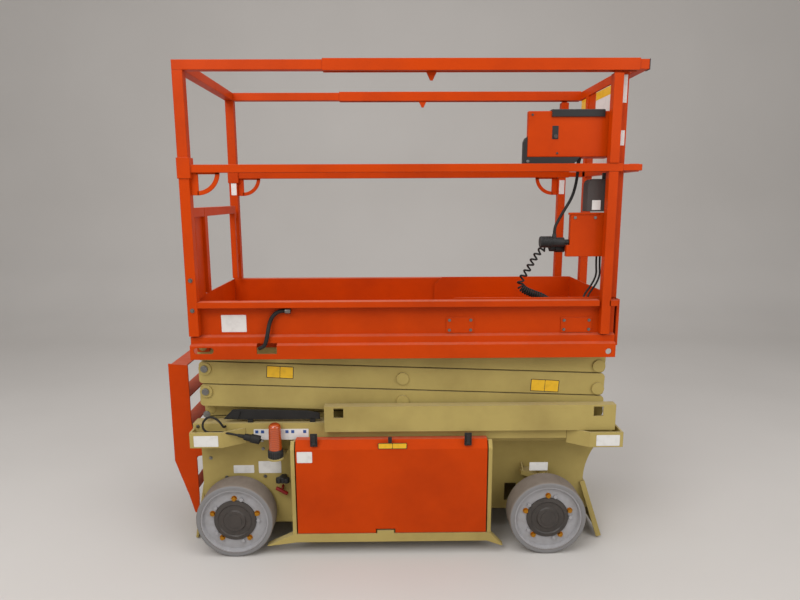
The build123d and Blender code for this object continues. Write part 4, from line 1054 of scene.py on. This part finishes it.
# ---------------------------------------------------------------- stage
class LIFT_OT_stage(bpy.types.Operator):
    """Lay the pale floor and backdrop, the soft lamps and the camera"""

    bl_idname = "lift.stage"
    bl_label = "Stage"

    def execute(self, context):
        floor = bmesh.new()
        line = [(0, -6, 0), (0, 3.4, 0), (0, 4.2, 0.12), (0, 4.75, 0.65), (0, 4.9, 1.5), (0, 4.9, 8)]
        verts = [floor.verts.new(point) for point in line]
        edges = [floor.edges.new(pair) for pair in zip(verts, verts[1:])]
        half_width = 9
        bmesh.ops.translate(floor, vec=(-half_width, 0, 0), verts=verts)
        swept = bmesh.ops.extrude_edge_only(floor, edges=edges)
        far = [item for item in swept["geom"] if isinstance(item, bmesh.types.BMVert)]
        bmesh.ops.translate(floor, vec=(2 * half_width, 0, 0), verts=far)
        bmesh.ops.recalc_face_normals(floor, faces=floor.faces)
        mesh = bpy.data.meshes.new("floor")
        floor.to_mesh(mesh)
        floor.free()
        for face in mesh.polygons:
            face.use_smooth = True
        material, tree, shader = new_material("pale_screed", {"Roughness": 0.7, "Specular IOR Level": 0.2})
        place = add_node(tree, "ShaderNodeTexCoord").outputs["Object"]
        tint = blend(tree, noise(tree, place, 0.8, 4.0), linear("#C9C5C1"), linear("#BFBBB7"))
        tree.links.new(tint, shader.inputs["Base Color"])
        mesh.materials.append(material)
        stage = bpy.data.objects.new("floor", mesh)
        context.scene.collection.objects.link(stage)

        world = bpy.data.worlds.new("studio")
        context.scene.world = world
        world.use_nodes = True
        world.node_tree.nodes["Background"].inputs[0].default_value = linear("#E6E4E2")
        world.node_tree.nodes["Background"].inputs[1].default_value = 0.6

        lamps = [
            # name, place, power in watts, size across in metres
            ("key", (-2.2, -3.4, 4.2), 125, 2.6),
            ("fill", (3.2, -3.0, 2.6), 62, 3.0),
            ("top", (0.0, -0.4, 4.6), 92, 3.4),
        ]
        for name, spot, power, size in lamps:
            light = bpy.data.lights.new(name, "AREA")
            light.energy = power
            light.size = size
            lamp = bpy.data.objects.new(name, light)
            lamp.location = spot
            lamp.rotation_mode = "QUATERNION"
            lamp.rotation_quaternion = (Vector((0, 0, 0.9)) - Vector(spot)).to_track_quat("-Z", "Y")
            context.scene.collection.objects.link(lamp)

        pitch, yaw, roll = radians(9.85), radians(-0.63), radians(-0.22)
        right = Vector((cos(yaw), sin(yaw), 0))
        level = Vector((-sin(yaw), cos(yaw), 0))
        up = level * sin(pitch) + Vector((0, 0, cos(pitch)))
        ahead = level * cos(pitch) - Vector((0, 0, sin(pitch)))
        across, upward = right * cos(roll) + up * sin(roll), up * cos(roll) - right * sin(roll)
        data = bpy.data.cameras.new("camera")
        data.lens = sizes().lens
        camera = bpy.data.objects.new("camera", data)
        stand = Vector((0.0032, -2.6512, 1.4953))
        rows = [(across[i], upward[i], -ahead[i], stand[i]) for i in range(3)]
        camera.matrix_world = Matrix(rows + [(0, 0, 0, 1)])
        context.scene.collection.objects.link(camera)
        context.scene.camera = camera
        context.scene.view_settings.view_transform = "Standard"
        return {"FINISHED"}


class LIFT_PT_panel(bpy.types.Panel):
    """Every piece of the dressing, in the order it is made"""

    bl_label = "Scissor Lift"
    bl_idname = "LIFT_PT_panel"
    bl_space_type = "VIEW_3D"
    bl_region_type = "UI"
    bl_category = "Scissor Lift"

    def draw(self, context):
        for operator in OPERATORS:
            self.layout.operator(operator.bl_idname)


OPERATORS = [
    LIFT_OT_materials,
    LIFT_OT_stage,
    LIFT_OT_cords,
    LIFT_OT_wheels,
    LIFT_OT_labels,
    LIFT_OT_latches,
    LIFT_OT_chassis_trim,
    LIFT_OT_rails,
    LIFT_OT_gate,
    LIFT_OT_extension,
    LIFT_OT_console,
]
CLASSES = [LiftColours, LiftSizes, *OPERATORS, LIFT_PT_panel]


def register():
    for cls in CLASSES:
        bpy.utils.register_class(cls)
    bpy.types.Scene.lift_colours = bpy.props.PointerProperty(type=LiftColours)
    bpy.types.Scene.lift_sizes = bpy.props.PointerProperty(type=LiftSizes)


def unregister():
    del bpy.types.Scene.lift_sizes
    del bpy.types.Scene.lift_colours
    for cls in reversed(CLASSES):
        bpy.utils.unregister_class(cls)


def main():
    register()
    for operator in OPERATORS:
        group, name = operator.bl_idname.split(".")
        getattr(getattr(bpy.ops, group), name)()


if __name__ == "__main__":
    main()
